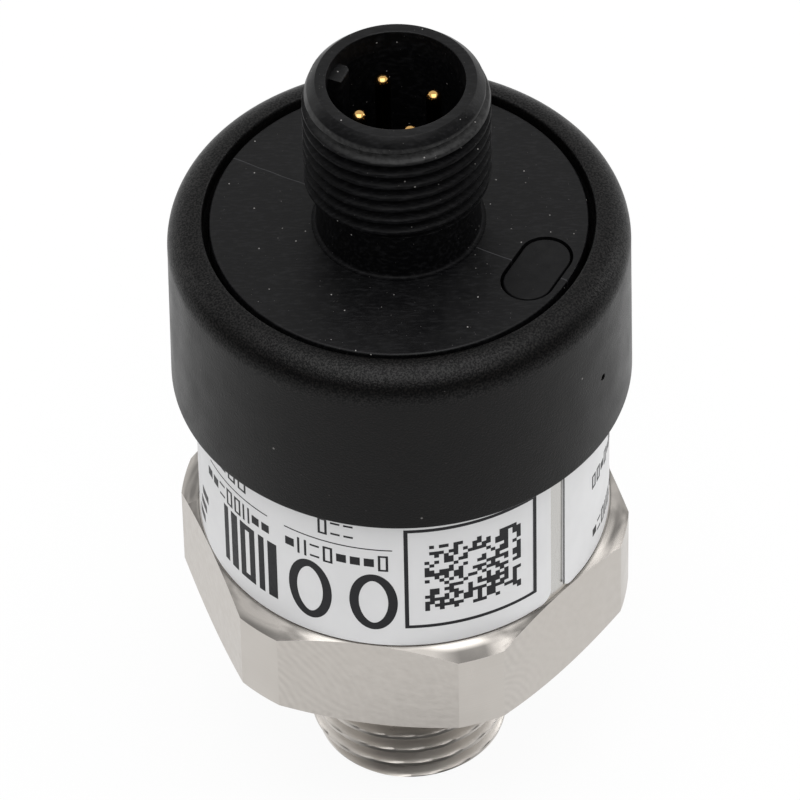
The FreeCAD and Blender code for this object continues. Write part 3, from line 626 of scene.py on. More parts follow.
def milled_steel(colours):
    """Face-milled flats: two crossing sets of wide arcs."""
    finish = Finish("milled_steel", colours.steel, 0.36, metallic=1.0)
    flat = finish.node("ShaderNodeUVMap", uv_map="flat").outputs[0]
    wobble = finish.noise(0.5, 2.0, flat)
    arcs = []
    for across, up, spacing in ((-7.0, -1.0, 0.50), (6.5, 9.5, 0.62)):
        centre = finish.node("ShaderNodeVectorMath", operation="SUBTRACT")
        finish.feed(centre.inputs[0], flat)
        centre.inputs[1].default_value = (across, up, 0)
        size = finish.node("ShaderNodeVectorMath", operation="LENGTH")
        finish.feed(size.inputs[0], centre.outputs[0])
        away = finish.math("ADD", size.outputs["Value"], finish.times(wobble, 0.35))
        wave = finish.math("SINE", finish.times(away, TURN / spacing))
        arcs.append(finish.spread(wave, -1.0, 1.0))
    patches = finish.spread(finish.noise(0.28, 2.0, flat), 0.35, 0.62)
    first = finish.times(arcs[0], patches)
    second = finish.times(arcs[1], finish.math("SUBTRACT", 1.0, patches))
    across = finish.math("ADD", finish.parts(flat)[0], finish.times(wobble, 6.0))
    fade = finish.spread(across, 0.0, 7.0, 1.0, 0.15)
    turn = finish.cylinder()[1]
    off = finish.off_direction(turn, -105)
    fade = finish.times(fade, finish.spread(off, 0.9, 0.6, 0.3, 1.0))
    both = finish.times(finish.math("ADD", first, second), fade)
    finish.raise_by(both, 0.016)
    finish.raise_by(finish.noise(3.0, 4.0, flat), 0.01)
    finish.tint(finish.times(both, 0.40), tuple(side * 0.72 for side in colours.steel))
    finish.vary_roughness(finish.noise(1.5, 3.0, flat), 0.30, 0.44)
    return finish.done()


def case_steel(colours):
    finish = Finish("case_steel", colours.case, 0.22, metallic=1.0)
    streaks = finish.noise(1.0, 3.0, finish.coordinates((6.0, 6.0, 0.3)))
    finish.raise_by(streaks, 0.002)
    finish.vary_roughness(streaks, 0.16, 0.3)
    finish.tint(finish.spread(streaks, 0.4, 0.8, 0.0, 0.4), (0.55, 0.54, 0.52))
    return finish.done()


def label_film(colours):
    """Satin film, a little uneven over the tube."""
    finish = Finish("label_film", colours.film, 0.42, specular=0.4)
    finish.raise_by(finish.noise(0.4, 2.0), 0.02)
    finish.raise_by(finish.noise(12.0, 2.0), 0.0008)
    finish.vary_roughness(finish.noise(0.8, 3.0), 0.36, 0.5)
    shade = tuple(side * 0.93 for side in colours.film)
    finish.tint(finish.spread(finish.noise(0.25, 3.0), 0.4, 0.7, 0.0, 0.6), shade)
    return finish.done()


def label_ink(colours):
    finish = Finish("label_ink", colours.ink, 0.4, specular=0.12)
    finish.vary_roughness(finish.noise(6.0, 3.0), 0.3, 0.55)
    finish.tint(finish.spread(finish.noise(14.0, 3.0), 0.5, 0.85, 0.0, 0.25), (0.05, 0.05, 0.052))
    return finish.done()


def gold_plate(colours):
    finish = Finish("gold_plate", colours.gold, 0.16, metallic=1.0)
    finish.raise_by(finish.noise(9.0, 2.0), 0.002)
    finish.vary_roughness(finish.noise(3.0, 3.0), 0.10, 0.2)
    finish.tint(finish.spread(finish.noise(5.0, 2.0), 0.4, 0.75, 0.0, 0.5), (0.52, 0.28, 0.08))
    # Painted shade: the pin is tinted darker from 0.45 to 0.8 mm under its tip downwards, where it sits deep
    # in the socket.
    tip = top("contact_pin_1") / MM
    _, _, height = finish.cylinder()
    finish.tint(finish.spread(height, tip - 0.45, tip - 0.8, 0.0, 0.85), (0.05, 0.03, 0.01))
    return finish.done()


def seal_rubber(colours):
    finish = Finish("seal_rubber", colours.rubber, 0.62, specular=0.35)
    finish.raise_by(finish.noise(8.0, 3.0), 0.008)
    finish.vary_roughness(finish.noise(1.5, 3.0), 0.52, 0.74)
    finish.tint(finish.spread(finish.noise(2.0, 3.0), 0.45, 0.8, 0.0, 0.4), (0.03, 0.03, 0.03))
    return finish.done()


def hidden_finish(name, base, roughness, metallic, scale, second):
    """Mottled finish for a piece inside the case."""
    finish = Finish(name, base, roughness, metallic=metallic)
    mottle = finish.noise(scale, 3.0)
    finish.raise_by(mottle, 0.006)
    finish.vary_roughness(mottle, roughness * 0.8, min(1.0, roughness * 1.3))
    finish.tint(finish.spread(mottle, 0.4, 0.7), second)
    return finish.done()


def look(name, maker, *values):
    """The named finish, made on first use."""
    return bpy.data.materials.get("finish_" + name) or maker(*values)


# ---- operators ---------------------------------------------------------------------

class TRANSMITTER_OT_stage(bpy.types.Operator):
    """Set up the camera, the soft lamps, the surroundings and the floor"""

    bl_idname = "transmitter.stage"
    bl_label = "Stage"

    def execute(self, context):
        sizes = context.scene.transmitter_stage
        scene = context.scene
        scene.view_settings.view_transform = "Standard"
        self.aim_camera(scene, sizes)
        self.light_world(scene, sizes)
        self.lay_floor(sizes)
        self.hang_screen()
        self.add_lamps(sizes)
        return {"FINISHED"}

    def aim_camera(self, scene, sizes):
        back = Vector((0, -math.cos(sizes.elevation), math.sin(sizes.elevation)))
        plain_up = Vector((0, math.sin(sizes.elevation), math.cos(sizes.elevation)))
        plain_right = Vector((1, 0, 0))
        right = plain_right * math.cos(sizes.roll) + plain_up * math.sin(sizes.roll)
        up = plain_up * math.cos(sizes.roll) - plain_right * math.sin(sizes.roll)
        aim = Vector((sizes.aim_across, 0, sizes.aim_height))
        data = bpy.data.cameras.new("camera")
        data.sensor_width = 36.0
        data.lens = sizes.lens
        camera = bpy.data.objects.new("camera", data)
        scene.collection.objects.link(camera)
        turn = Matrix((right, up, back)).transposed().to_4x4()
        camera.matrix_world = Matrix.Translation(aim + back * sizes.distance) @ turn
        scene.camera = camera

    def light_world(self, scene, sizes):
        world = bpy.data.worlds.new("surroundings")
        scene.world = world
        world.use_nodes = True
        tree = world.node_tree
        tree.nodes.clear()
        seen = self.seen_rays(tree)
        plain = tree.nodes.new("ShaderNodeBackground")
        plain.inputs["Strength"].default_value = sizes.ambient
        white = tree.nodes.new("ShaderNodeBackground")
        white.inputs["Strength"].default_value = 1.0
        for item in (plain, white):
            item.inputs["Color"].default_value = (1, 1, 1, 1)
        mix = tree.nodes.new("ShaderNodeMixShader")
        output = tree.nodes.new("ShaderNodeOutputWorld")
        tree.links.new(seen, mix.inputs[0])
        tree.links.new(plain.outputs[0], mix.inputs[1])
        tree.links.new(white.outputs[0], mix.inputs[2])
        tree.links.new(mix.outputs[0], output.inputs[0])

    def seen_rays(self, tree):
        """1 for camera, glossy and transmission rays, 0 for the rest."""
        path = tree.nodes.new("ShaderNodeLightPath")
        total = path.outputs["Is Camera Ray"]
        for name in ("Is Glossy Ray", "Is Transmission Ray"):
            larger = tree.nodes.new("ShaderNodeMath")
            larger.operation = "MAXIMUM"
            tree.links.new(total, larger.inputs[0])
            tree.links.new(path.outputs[name], larger.inputs[1])
            total = larger.outputs[0]
        return total

    def lay_floor(self, sizes):
        """Pale floor: white to the camera; in reflections its glow holds a painted shadow close round the
        stud.
        """
        deselect()
        bpy.ops.mesh.primitive_plane_add(size=8.0, location=(0, 0, 0))
        floor = adopt("floor")
        finish = Finish("floor", sizes.floor, 0.9, specular=0.0)
        tree = finish.tree
        glow = finish.node("ShaderNodeEmission")
        near = finish.node("ShaderNodeVectorMath", operation="DISTANCE")
        finish.feed(near.inputs[0], finish.coordinates())
        near.inputs[1].default_value = (0, -14, 0)
        # Painted shadow: in reflections the floor's glow falls to 0.06 close round the stud, where the
        # object's shadow lies.
        dim_to, bright_from = 7.5, 12.0
        shade = finish.spread(near.outputs["Value"], dim_to, bright_from, 0.06, 0.98)
        camera = finish.node("ShaderNodeLightPath").outputs["Is Camera Ray"]
        finish.feed(glow.inputs["Strength"], finish.math("MAXIMUM", camera, shade))
        seen = finish.times(self.seen_rays(tree), sizes.haze)
        mix = finish.node("ShaderNodeMixShader")
        finish.feed(mix.inputs[0], seen)
        finish.feed(mix.inputs[1], finish.shader.outputs[0])
        finish.feed(mix.inputs[2], glow.outputs[0])
        finish.feed(tree.nodes["Material Output"].inputs[0], mix.outputs[0])
        floor.data.materials.append(finish.done())

    def hang_screen(self):
        """Dark screen round the front, seen by mirror rays alone."""
        deselect()
        bpy.ops.mesh.primitive_cylinder_add(
            vertices=72, radius=0.45, depth=0.36, end_fill_type="NOTHING", location=(0, 0, 0.16),
        )
        screen = adopt("screen")
        edit(screen)
        pick(screen, "polygons", lambda face: face.center.y > 0.12)
        bpy.ops.mesh.delete(type="FACE")
        close()
        material = Finish("screen", (0.02, 0.02, 0.02), 1.0, specular=0.0)
        screen.data.materials.append(material.done())
        for kind in ("camera", "diffuse", "transmission", "shadow"):
            setattr(screen, "visible_" + kind, False)

    def add_lamps(self, sizes):
        for name, place, size, power in LAMPS:
            data = bpy.data.lights.new(name, "AREA")
            data.shape = "SQUARE"
            data.size = size
            data.energy = power
            lamp = bpy.data.objects.new(name, data)
            bpy.context.scene.collection.objects.link(lamp)
            away = Vector(place) - Vector((0, 0, sizes.aim_height))
            lamp.location = place
            lamp.rotation_euler = away.to_track_quat("Z", "Y").to_euler()


LAMPS = (
    # name, place, side of the square, power
    ("lamp_above", (0.0, -0.13, 0.515), 0.50, 2.2),
    ("lamp_left", (-0.50, 0.10, 0.20), 0.30, 0.3),
    ("lamp_right", (0.50, 0.10, 0.22), 0.30, 0.8),
)


class TRANSMITTER_OT_connection(bpy.types.Operator):
    """Turn the stud and collar, cut the thread and mill the hexagon"""

    bl_idname = "transmitter.connection"
    bl_label = "Process connection"

    def execute(self, context):
        sizes = context.scene.transmitter_connection
        colours = context.scene.transmitter_finish
        piece = turned("stud_and_hexagon", self.section(sizes))
        press_thread(
            piece, sizes.thread_radius, sizes.thread_depth, sizes.thread_pitch,
            sizes.thread_phase, 0.0, sizes.thread_end,
        )
        self.mill(piece, sizes)
        materials = [
            look("turned_steel", turned_steel, colours),
            look("milled_steel", milled_steel, colours),
            look("bevel_steel", bevel_steel, colours),
        ]
        finish_piece(piece, "turned_steel", materials, "process_connection")
        place_slot(piece, 2, lambda face: self.is_bevel(face, sizes))
        place_slot(piece, 1, lambda face: self.is_flat(face, sizes))
        self.map_flats(piece, sizes)
        smooth(piece, 24.0)
        return {"FINISHED"}

    def section(self, sizes):
        end_face = foot("process_connection")
        boss_top = top("process_connection")
        hex_top = foot("case_tube")
        chamfer = 0.45 * MM
        relief, relief_foot = 5.6 * MM, 11.379 * MM
        collar, collar_foot = 9.45 * MM, 12.0 * MM
        recess, recess_top = 8.35 * MM, 13.4 * MM
        port, port_top = 2.0 * MM, 20.0 * MM
        spigot, boss, cell_seat = 12.6 * MM, 5.5 * MM, 3.53 * MM
        under = sizes.hex_foot - sizes.hex_under
        spigot_top = foot("board_carrier")
        crest = sizes.thread_radius
        return [
            (port + 0.4 * MM, end_face),
            (crest - chamfer, end_face, 0.06 * MM),
            *ruled((crest, chamfer), (crest, sizes.thread_end), 0.066 * MM),
            (crest, sizes.thread_end),
            (relief, relief_foot, 0.3 * MM), (relief, recess_top),
            (recess, recess_top), (recess, collar_foot, 0.05 * MM),
            (collar, collar_foot, 0.12 * MM), (collar, under),
            (sizes.hex_flat - 0.1 * MM, under), (sizes.hex_corner, sizes.hex_foot),
            (sizes.hex_corner, hex_top - sizes.hex_bevel), (sizes.hex_flat, hex_top),
            (spigot, hex_top), (spigot, spigot_top),
            (boss, spigot_top), (boss, boss_top),
            (cell_seat, boss_top), (cell_seat, port_top),
            (port, port_top), (port, 0.4 * MM),
        ]

    def mill(self, piece, sizes):
        """Slice the six wrench flats off the turned blank."""
        edit(piece)
        for index in range(6):
            direction = sizes.hex_turn + QUARTER + index * TURN / 6
            normal = Vector((math.cos(direction), math.sin(direction), 0))
            take_all()
            bpy.ops.mesh.bisect(
                plane_co=normal * sizes.hex_flat, plane_no=normal,
                use_fill=True, clear_outer=True, threshold=SNAP,
            )
        close()

    def is_bevel(self, face, sizes):
        out = face.center.to_2d().length
        return face.normal.z > 0.3 and out > sizes.hex_flat - 0.1 * MM and face.center.z > sizes.hex_foot

    def is_flat(self, face, sizes):
        out = face.center.to_2d().length
        upright = abs(face.normal.z) < 0.01
        return upright and face.area > 20 * MM * MM and out > sizes.hex_flat - 0.5 * MM

    def map_flats(self, piece, sizes):
        """Give each flat its own map in millimetres, so its milling marks lie in it."""
        layer = piece.data.uv_layers.new(name="flat")
        for face in piece.data.polygons:
            if not self.is_flat(face, sizes):
                continue
            along = Vector((-face.normal.y, face.normal.x, 0))
            turn = round(math.degrees(math.atan2(face.normal.y, face.normal.x)))
            for loop in face.loop_indices:
                place = piece.data.vertices[piece.data.loops[loop].vertex_index].co
                up = (place.z - sizes.hex_foot) / MM
                layer.data[loop].uv = (place.dot(along) / MM + (turn % 7) * 0.9, up)


class TRANSMITTER_OT_case(bpy.types.Operator):
    """Roll the case tube and turn the seal rings"""

    bl_idname = "transmitter.case"
    bl_label = "Case tube and seals"

    def execute(self, context):
        colours = context.scene.transmitter_finish
        outer = reach("case_tube")
        inner = outer - 0.7 * MM
        low = foot("case_tube")
        high = top("case_tube")
        bead = 35.17 * MM
        dip = 0.35 * MM
        half = 0.6 * MM
        tube = turned("case_sleeve", [
            (inner, low), (outer, low, 0.05 * MM),
            (outer, bead - half - dip, 0.15 * MM), (outer - dip, bead - half, 0.15 * MM),
            (outer - dip, bead + half, 0.15 * MM), (outer, bead + half + dip, 0.15 * MM),
            (outer, high, 0.05 * MM), (inner, high),
            (inner, bead + half + dip), (inner - dip, bead + half),
            (inner - dip, bead - half), (inner, bead - half - dip),
        ])
        finish_piece(tube, "case_steel", [look("case_steel", case_steel, colours)], "case_tube")
        smooth(tube)
        self.add_seal(colours)
        return {"FINISHED"}

    def add_seal(self, colours):
        low = foot("profile_seal_ring")
        high = top("profile_seal_ring")
        outer = reach("profile_seal_ring")
        inner = 5.7 * MM
        ring = turned("profile_seal", [
            (inner, low + 0.3 * MM, 0.08 * MM), (inner + 0.765 * MM, low + 0.3 * MM, 0.08 * MM),
            (inner + 1.065 * MM, low, 0.12 * MM), (outer, low, 0.18 * MM),
            (outer, high, 0.05 * MM), (inner, high, 0.05 * MM),
        ], 160)
        finish_piece(ring, "seal_rubber", [look("seal_rubber", seal_rubber, colours)], "profile_seal_ring")
        smooth(ring)


class TRANSMITTER_OT_label(bpy.types.Operator):
    """Wrap the label film round the tube and print it"""

    bl_idname = "transmitter.label"
    bl_label = "Label"

    def execute(self, context):
        sizes = context.scene.transmitter_label
        colours = context.scene.transmitter_finish
        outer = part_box("rating_label")[1].x
        low = foot("rating_label")
        high = top("rating_label")
        inner = reach("case_tube")
        self.wrap_film(sizes, colours, inner, outer, low, high)
        self.print_marks(sizes, colours, outer)
        return {"FINISHED"}

    def wrap_film(self, sizes, colours, inner, outer, low, high):
        """Cut a flat strip with round corners, bend it and give it its thickness."""
        columns, round_columns = 272, 6
        span = (TURN - sizes.opening) * outer
        start = sizes.start * outer
        deselect()
        bpy.ops.mesh.primitive_grid_add(
            x_subdivisions=columns, y_subdivisions=2, size=1.0, rotation=(QUARTER, 0, 0),
            location=(start + span / 2, 0, (low + high) / 2),
        )
        film = adopt("label_film")
        centre = Vector((start + span / 2, 0, (low + high) / 2))
        size = Matrix.Diagonal((span, 1, high - low, 1))
        film.data.transform(Matrix.Translation(centre) @ size @ Matrix.Translation(-centre))
        column = span / columns
        for vertex in film.data.vertices:
            gap = min(vertex.co.x - start, start + span - vertex.co.x)
            steps = round(gap / column)
            if steps <= round_columns:
                side = 1 if vertex.co.x - start < span / 2 else -1
                gap = sizes.corner * (1 - math.cos(QUARTER * steps / round_columns))
                vertex.co.x = (start if side > 0 else start + span) + side * gap
            if gap < sizes.corner and abs(vertex.co.z - centre.z) > 1e-6:
                drop = sizes.corner - math.sqrt(max(0.0, sizes.corner ** 2 - (sizes.corner - gap) ** 2))
                vertex.co.z += -drop if vertex.co.z > centre.z else drop
        self.bend(film, inner)
        apply_modifier(film, "SOLIDIFY", thickness=outer - inner, offset=1.0)
        finish_piece(film, "label_film", [look("label_film", label_film, colours)], "rating_label")
        smooth(film)

    def bend(self, piece, radius):
        """Roll a flat piece onto the tube: across becomes the angle, depth the radius."""
        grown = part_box("rating_label")[1].x
        for vertex in piece.data.vertices:
            turn = vertex.co.x / grown
            out = radius - vertex.co.y
            vertex.co = (out * math.cos(turn), out * math.sin(turn), vertex.co.z)

    def print_marks(self, sizes, colours, outer):
        """Print the marks flat, cut them into narrow strips and wrap them on the film."""
        degree = math.radians(1.0) * outer
        deselect()
        bpy.ops.mesh.primitive_plane_add(size=MM)
        sheet = adopt("label_print")
        edit(sheet)
        take_all()
        bpy.ops.mesh.delete(type="VERT")
        for start, width, low, height in BARS:
            self.bar(start * degree, width * degree, low * MM, height * MM)
        for centre, half_width, low, height, stroke in RINGS:
            self.ring(centre * degree, half_width * MM, low * MM, height * MM, stroke * MM)
        for start, end, low, high, stroke in BOXES:
            self.hollow(start * degree, end * degree, low * MM, high * MM, stroke * MM)
        for start, end, low, high, count in ROWS:
            self.text_row(start * degree, end * degree, low * MM, high * MM, count)
        self.framed_field(degree)
        close()
        self.slice(sheet)
        self.bend(sheet, outer)
        apply_modifier(sheet, "SOLIDIFY", thickness=sizes.ink, offset=0.6)
        finish_piece(sheet, "label_film", [look("label_ink", label_ink, colours)])

    def bar(self, start, width, low, height):
        """Solid upright bar."""
        place = (start + width / 2, 0, low + height / 2)
        bpy.ops.mesh.primitive_plane_add(size=1.0, location=place, rotation=(QUARTER, 0, 0))
        bpy.ops.transform.resize(value=(width, 1, height), center_override=place)

    def ring(self, centre, half_width, low, height, stroke):
        """Plain ring, round or upright oval."""
        place = (centre, 0, low + height / 2)
        bpy.ops.mesh.primitive_circle_add(
            vertices=72, radius=1.0, fill_type="NGON", location=place, rotation=(QUARTER, 0, 0),
        )
        bpy.ops.transform.resize(value=(half_width, 1, height / 2), center_override=place)
        bpy.ops.mesh.inset(thickness=stroke)
        bpy.ops.mesh.delete(type="FACE")

    def hollow(self, start, end, low, high, stroke):
        """Rectangle drawn as a line."""
        self.bar(start, end - start, low, high - low)
        bpy.ops.mesh.inset(thickness=stroke)
        bpy.ops.mesh.delete(type="FACE")

    def text_row(self, start, end, low, high, count):
        """Row of small upright shapes that stands where a line of print would be."""
        source = random.Random(round((start * 7 + low * 13) / MM * 10) + count)
        pitch = (end - start) / count
        height = high - low
        stroke = 0.16 * MM
        for index in range(count):
            left = start + index * pitch
            width = pitch * 0.72
            kind = source.randrange(4)
            if kind == 0:
                self.bar(left, stroke, low, height)
                self.bar(left + width - stroke, stroke, low, height)
            elif kind == 1:
                self.hollow(left, left + width, low, high, stroke)
            elif kind == 2:
                self.bar(left, width, low + height / 4, height / 2)
            else:
                self.bar(left, width, high - 2 * stroke, stroke)
                self.bar(left, width, low + stroke, stroke)

    def framed_field(self, degree):
        """Plain frame round a made-up field of blocks."""
        low, high = 22.80 * MM, 32.05 * MM
        left, right = -90.6 * degree, -51.3 * degree
        self.hollow(left, right, low, high, 0.27 * MM)
        source = random.Random(11)
        columns, rows = 21, 21
        left, right, low = -85.0 * degree, -56.7 * degree, 24.35 * MM
        wide = (right - left) / columns
        tall = 6.1 * MM / rows
        for row in range(rows):
            filled = [source.random() < 0.5 for _ in range(columns)] + [False]
            start = None
            for column, full in enumerate(filled):
                if full and start is None:
                    start = column
                elif not full and start is not None:
                    width = (column - start) * wide
                    self.bar(left + start * wide, width, low + row * tall, tall * 1.01)
                    start = None

    def slice(self, sheet):
        """Cut all that is printed across, so that it can follow the tube."""
        edit(sheet)
        reach_across = max(abs(vertex.co.x) for vertex in sheet.data.vertices)
        step = 0.45 * MM
        count = int(reach_across / step)
        for index in range(-count, count + 1):
            take_all()
            bpy.ops.mesh.bisect(plane_co=(index * step, 0, 0), plane_no=(1, 0, 0), threshold=SNAP / 10)
        close()


BARS = (
    # start and width in degrees, foot and height in millimetres
    (-125.2, 31.5, 30.08, 0.09),
    (-157.9, 26.8, 30.08, 0.09),
    # Painted shadow: this thin ink line along the film's first edge stands in for the shade line that the
    # edge throws.
    (-40.75, 0.5, 21.6, 11.5),
    (-150.2, 2.1, 22.7, 5.1),
    (-146.6, 2.9, 22.7, 5.1),
    (-134.9, 2.1, 22.7, 5.1),
    (-131.4, 3.2, 22.7, 5.1),
    (-171.0, 5.5, 22.4, 0.7),
    (-169.0, 5.5, 23.7, 0.7),
    (-167.0, 5.5, 25.0, 0.7),
    (-24.5, 9.0, 31.1, 1.3),
)

RINGS = (
    # centre in degrees, half width, foot, height and stroke in millimetres
    (-117.6, 1.55, 22.45, 5.40, 0.62),
    (-99.2, 1.58, 22.60, 5.20, 0.62),
)

BOXES = (
    # start and end in degrees, foot, top and stroke in millimetres
    (-142.4, -136.4, 22.7, 27.8, 0.50),
    (100.0, 160.0, 22.4, 32.2, 0.20),
    (12.0, 64.0, 25.6, 29.4, 0.16),
)

ROWS = (
    # start and end in degrees, foot and top in millimetres, how many shapes
    (-125.0, -93.8, 28.15, 29.60, 8),
    (-159.7, -129.6, 28.15, 29.60, 8),
    (-114.6, -103.4, 30.75, 32.20, 3),
    (-152.0, -138.0, 30.75, 32.20, 3),
    (-25.5, -2.0, 27.3, 28.5, 7),
    (-25.0, 6.0, 22.4, 23.7, 9),
    (12.0, 80.0, 30.6, 31.9, 18),
    (14.5, 61.0, 26.9, 28.1, 13),
    (12.0, 72.0, 22.6, 23.9, 16),
    (104.0, 150.0, 29.8, 31.1, 12),
    (104.0, 156.0, 27.4, 28.7, 14),
    (104.0, 142.0, 25.0, 26.3, 10),
)


class TRANSMITTER_OT_cap(bpy.types.Operator):
    """Mould the black cap with its rounded shoulder and its gate mark"""

    bl_idname = "transmitter.cap"
    bl_label = "Cap"

    def execute(self, context):
        colours = context.scene.transmitter_finish
        piece = turned("cap_shell", self.section(), easing=14)
        self.mark_gate(piece)
        finish_piece(piece, "cap_plastic", [look("cap_plastic", cap_plastic, colours)], "head_cap")
        smooth(piece)
        return {"FINISHED"}

    def section(self):
        low = foot("head_cap")
        high = top("head_cap")
        outer = reach("head_cap")
        upper = outer - 0.12 * MM
        bore, bore_end = 13.43 * MM, low + 4.9 * MM
        mouth, disc_seat = 12.5 * MM, 12.15 * MM
        flange, waist = 11.0 * MM, 12.4 * MM
        disc_foot = high - 2.45 * MM
        bead = low + 1.5 * MM
        wall = ruled((outer, low + 0.4 * MM), (upper, high - 2.4 * MM), 0.42 * MM)
        return [
            (bore, low), (outer, low, 0.18 * MM), *wall,
            (upper, high, 2.0 * MM), (mouth, high, 0.24 * MM),
            (mouth, disc_foot + 1.25 * MM), (disc_seat, disc_foot + 0.9 * MM),
            (disc_seat, disc_foot), (flange, disc_foot),
            (flange, disc_foot - 2.0 * MM), (waist, disc_foot - 3.0 * MM),
            (waist, bore_end), (bore, bore_end),
            (bore, bead + 0.55 * MM), (bore - 0.25 * MM, bead + 0.3 * MM),
            (bore - 0.25 * MM, bead - 0.3 * MM), (bore, bead - 0.55 * MM),
        ]

    def mark_gate(self, piece):
        """Sink a small torn pit where the moulding was fed."""
        direction, height = math.radians(-30.6), 39.6 * MM
        spot = Vector((14.83 * MM * math.cos(direction), 14.83 * MM * math.sin(direction), height))
        edit(piece)
        pick(piece, "polygons", lambda face: (face.center - spot).length < 0.6 * MM)
        bpy.ops.mesh.subdivide(number_cuts=5)
        pick(piece, "polygons", lambda face: (face.center - spot).length < 0.24 * MM)
        inward = -Vector((spot.x, spot.y, 0)).normalized()
        bpy.ops.mesh.extrude_region_move(TRANSFORM_OT_translate={"value": inward * 0.25 * MM})
        bpy.ops.transform.resize(value=(0.8, 0.8, 0.7), center_override=spot)
        close()


class TRANSMITTER_OT_insert(bpy.types.Operator):
    """Mould the connector's disc, with the pocket for the vent plug"""

    bl_idname = "transmitter.insert"
    bl_label = "Connector disc and vent plug"

    def execute(self, context):
        colours = context.scene.transmitter_finish
        disc_top = top("head_cap") - DISC_SINK
        disc_foot = disc_top - 2.2 * MM
        root, root_foot = 4.7 * MM, disc_foot - 2.2 * MM
        skirt_bore, skirt, skirt_foot = 9.3 * MM, 10.9 * MM, disc_foot - 2.8 * MM
        groove, groove_foot, groove_top = 10.0 * MM, disc_foot - 1.65 * MM, disc_foot - 0.55 * MM
        catch, edge = 11.25 * MM, 12.07 * MM
        disc = turned("insert_disc", [
            (0, root_foot), (root, root_foot), (root, disc_foot),
            (skirt_bore, disc_foot), (skirt_bore, skirt_foot), (skirt, skirt_foot),
            (catch, disc_foot - 2.35 * MM), (skirt, disc_foot - 1.9 * MM),
            (skirt, groove_foot), (groove, groove_foot),
            (groove, groove_top), (skirt, groove_top),
            (skirt, disc_foot), (edge, disc_foot), (edge, disc_top, 0.16 * MM),
            (0, disc_top),
        ], closed=False)
        turn, out = self.vent_place()
        pocket = obround("pocket_tool", 3.50 * MM, 5.96 * MM, out, turn, disc_top - 1.5 * MM, disc_top + MM)
        cut_away(disc, pocket)
        material = look("insert_plastic_disc", insert_plastic, colours, True)
        finish_piece(disc, "insert_plastic", [material], "connector_insert")
        smooth(disc)
        self.add_vent(colours, turn, out)
        return {"FINISHED"}

    def vent_place(self):
        spot = middle("vent_plug")
        return math.atan2(spot.y, spot.x), math.hypot(spot.x, spot.y)

    def add_vent(self, colours, turn, out):
        """Obround plug with a broken upper edge."""
        low, high = foot("vent_plug"), top("vent_plug")
        plug = obround("vent_insert", 3.14 * MM, 5.6 * MM, out, turn, low, high)
        edit(plug)
        pick(plug, "polygons", lambda face: face.normal.z > 0.9)
        bpy.ops.mesh.bevel(offset=0.10 * MM, segments=3, affect="EDGES")
        close()
        finish_piece(plug, "vent_plastic", [look("vent_plastic", vent_plastic, colours)], "vent_plug")
        smooth(plug)


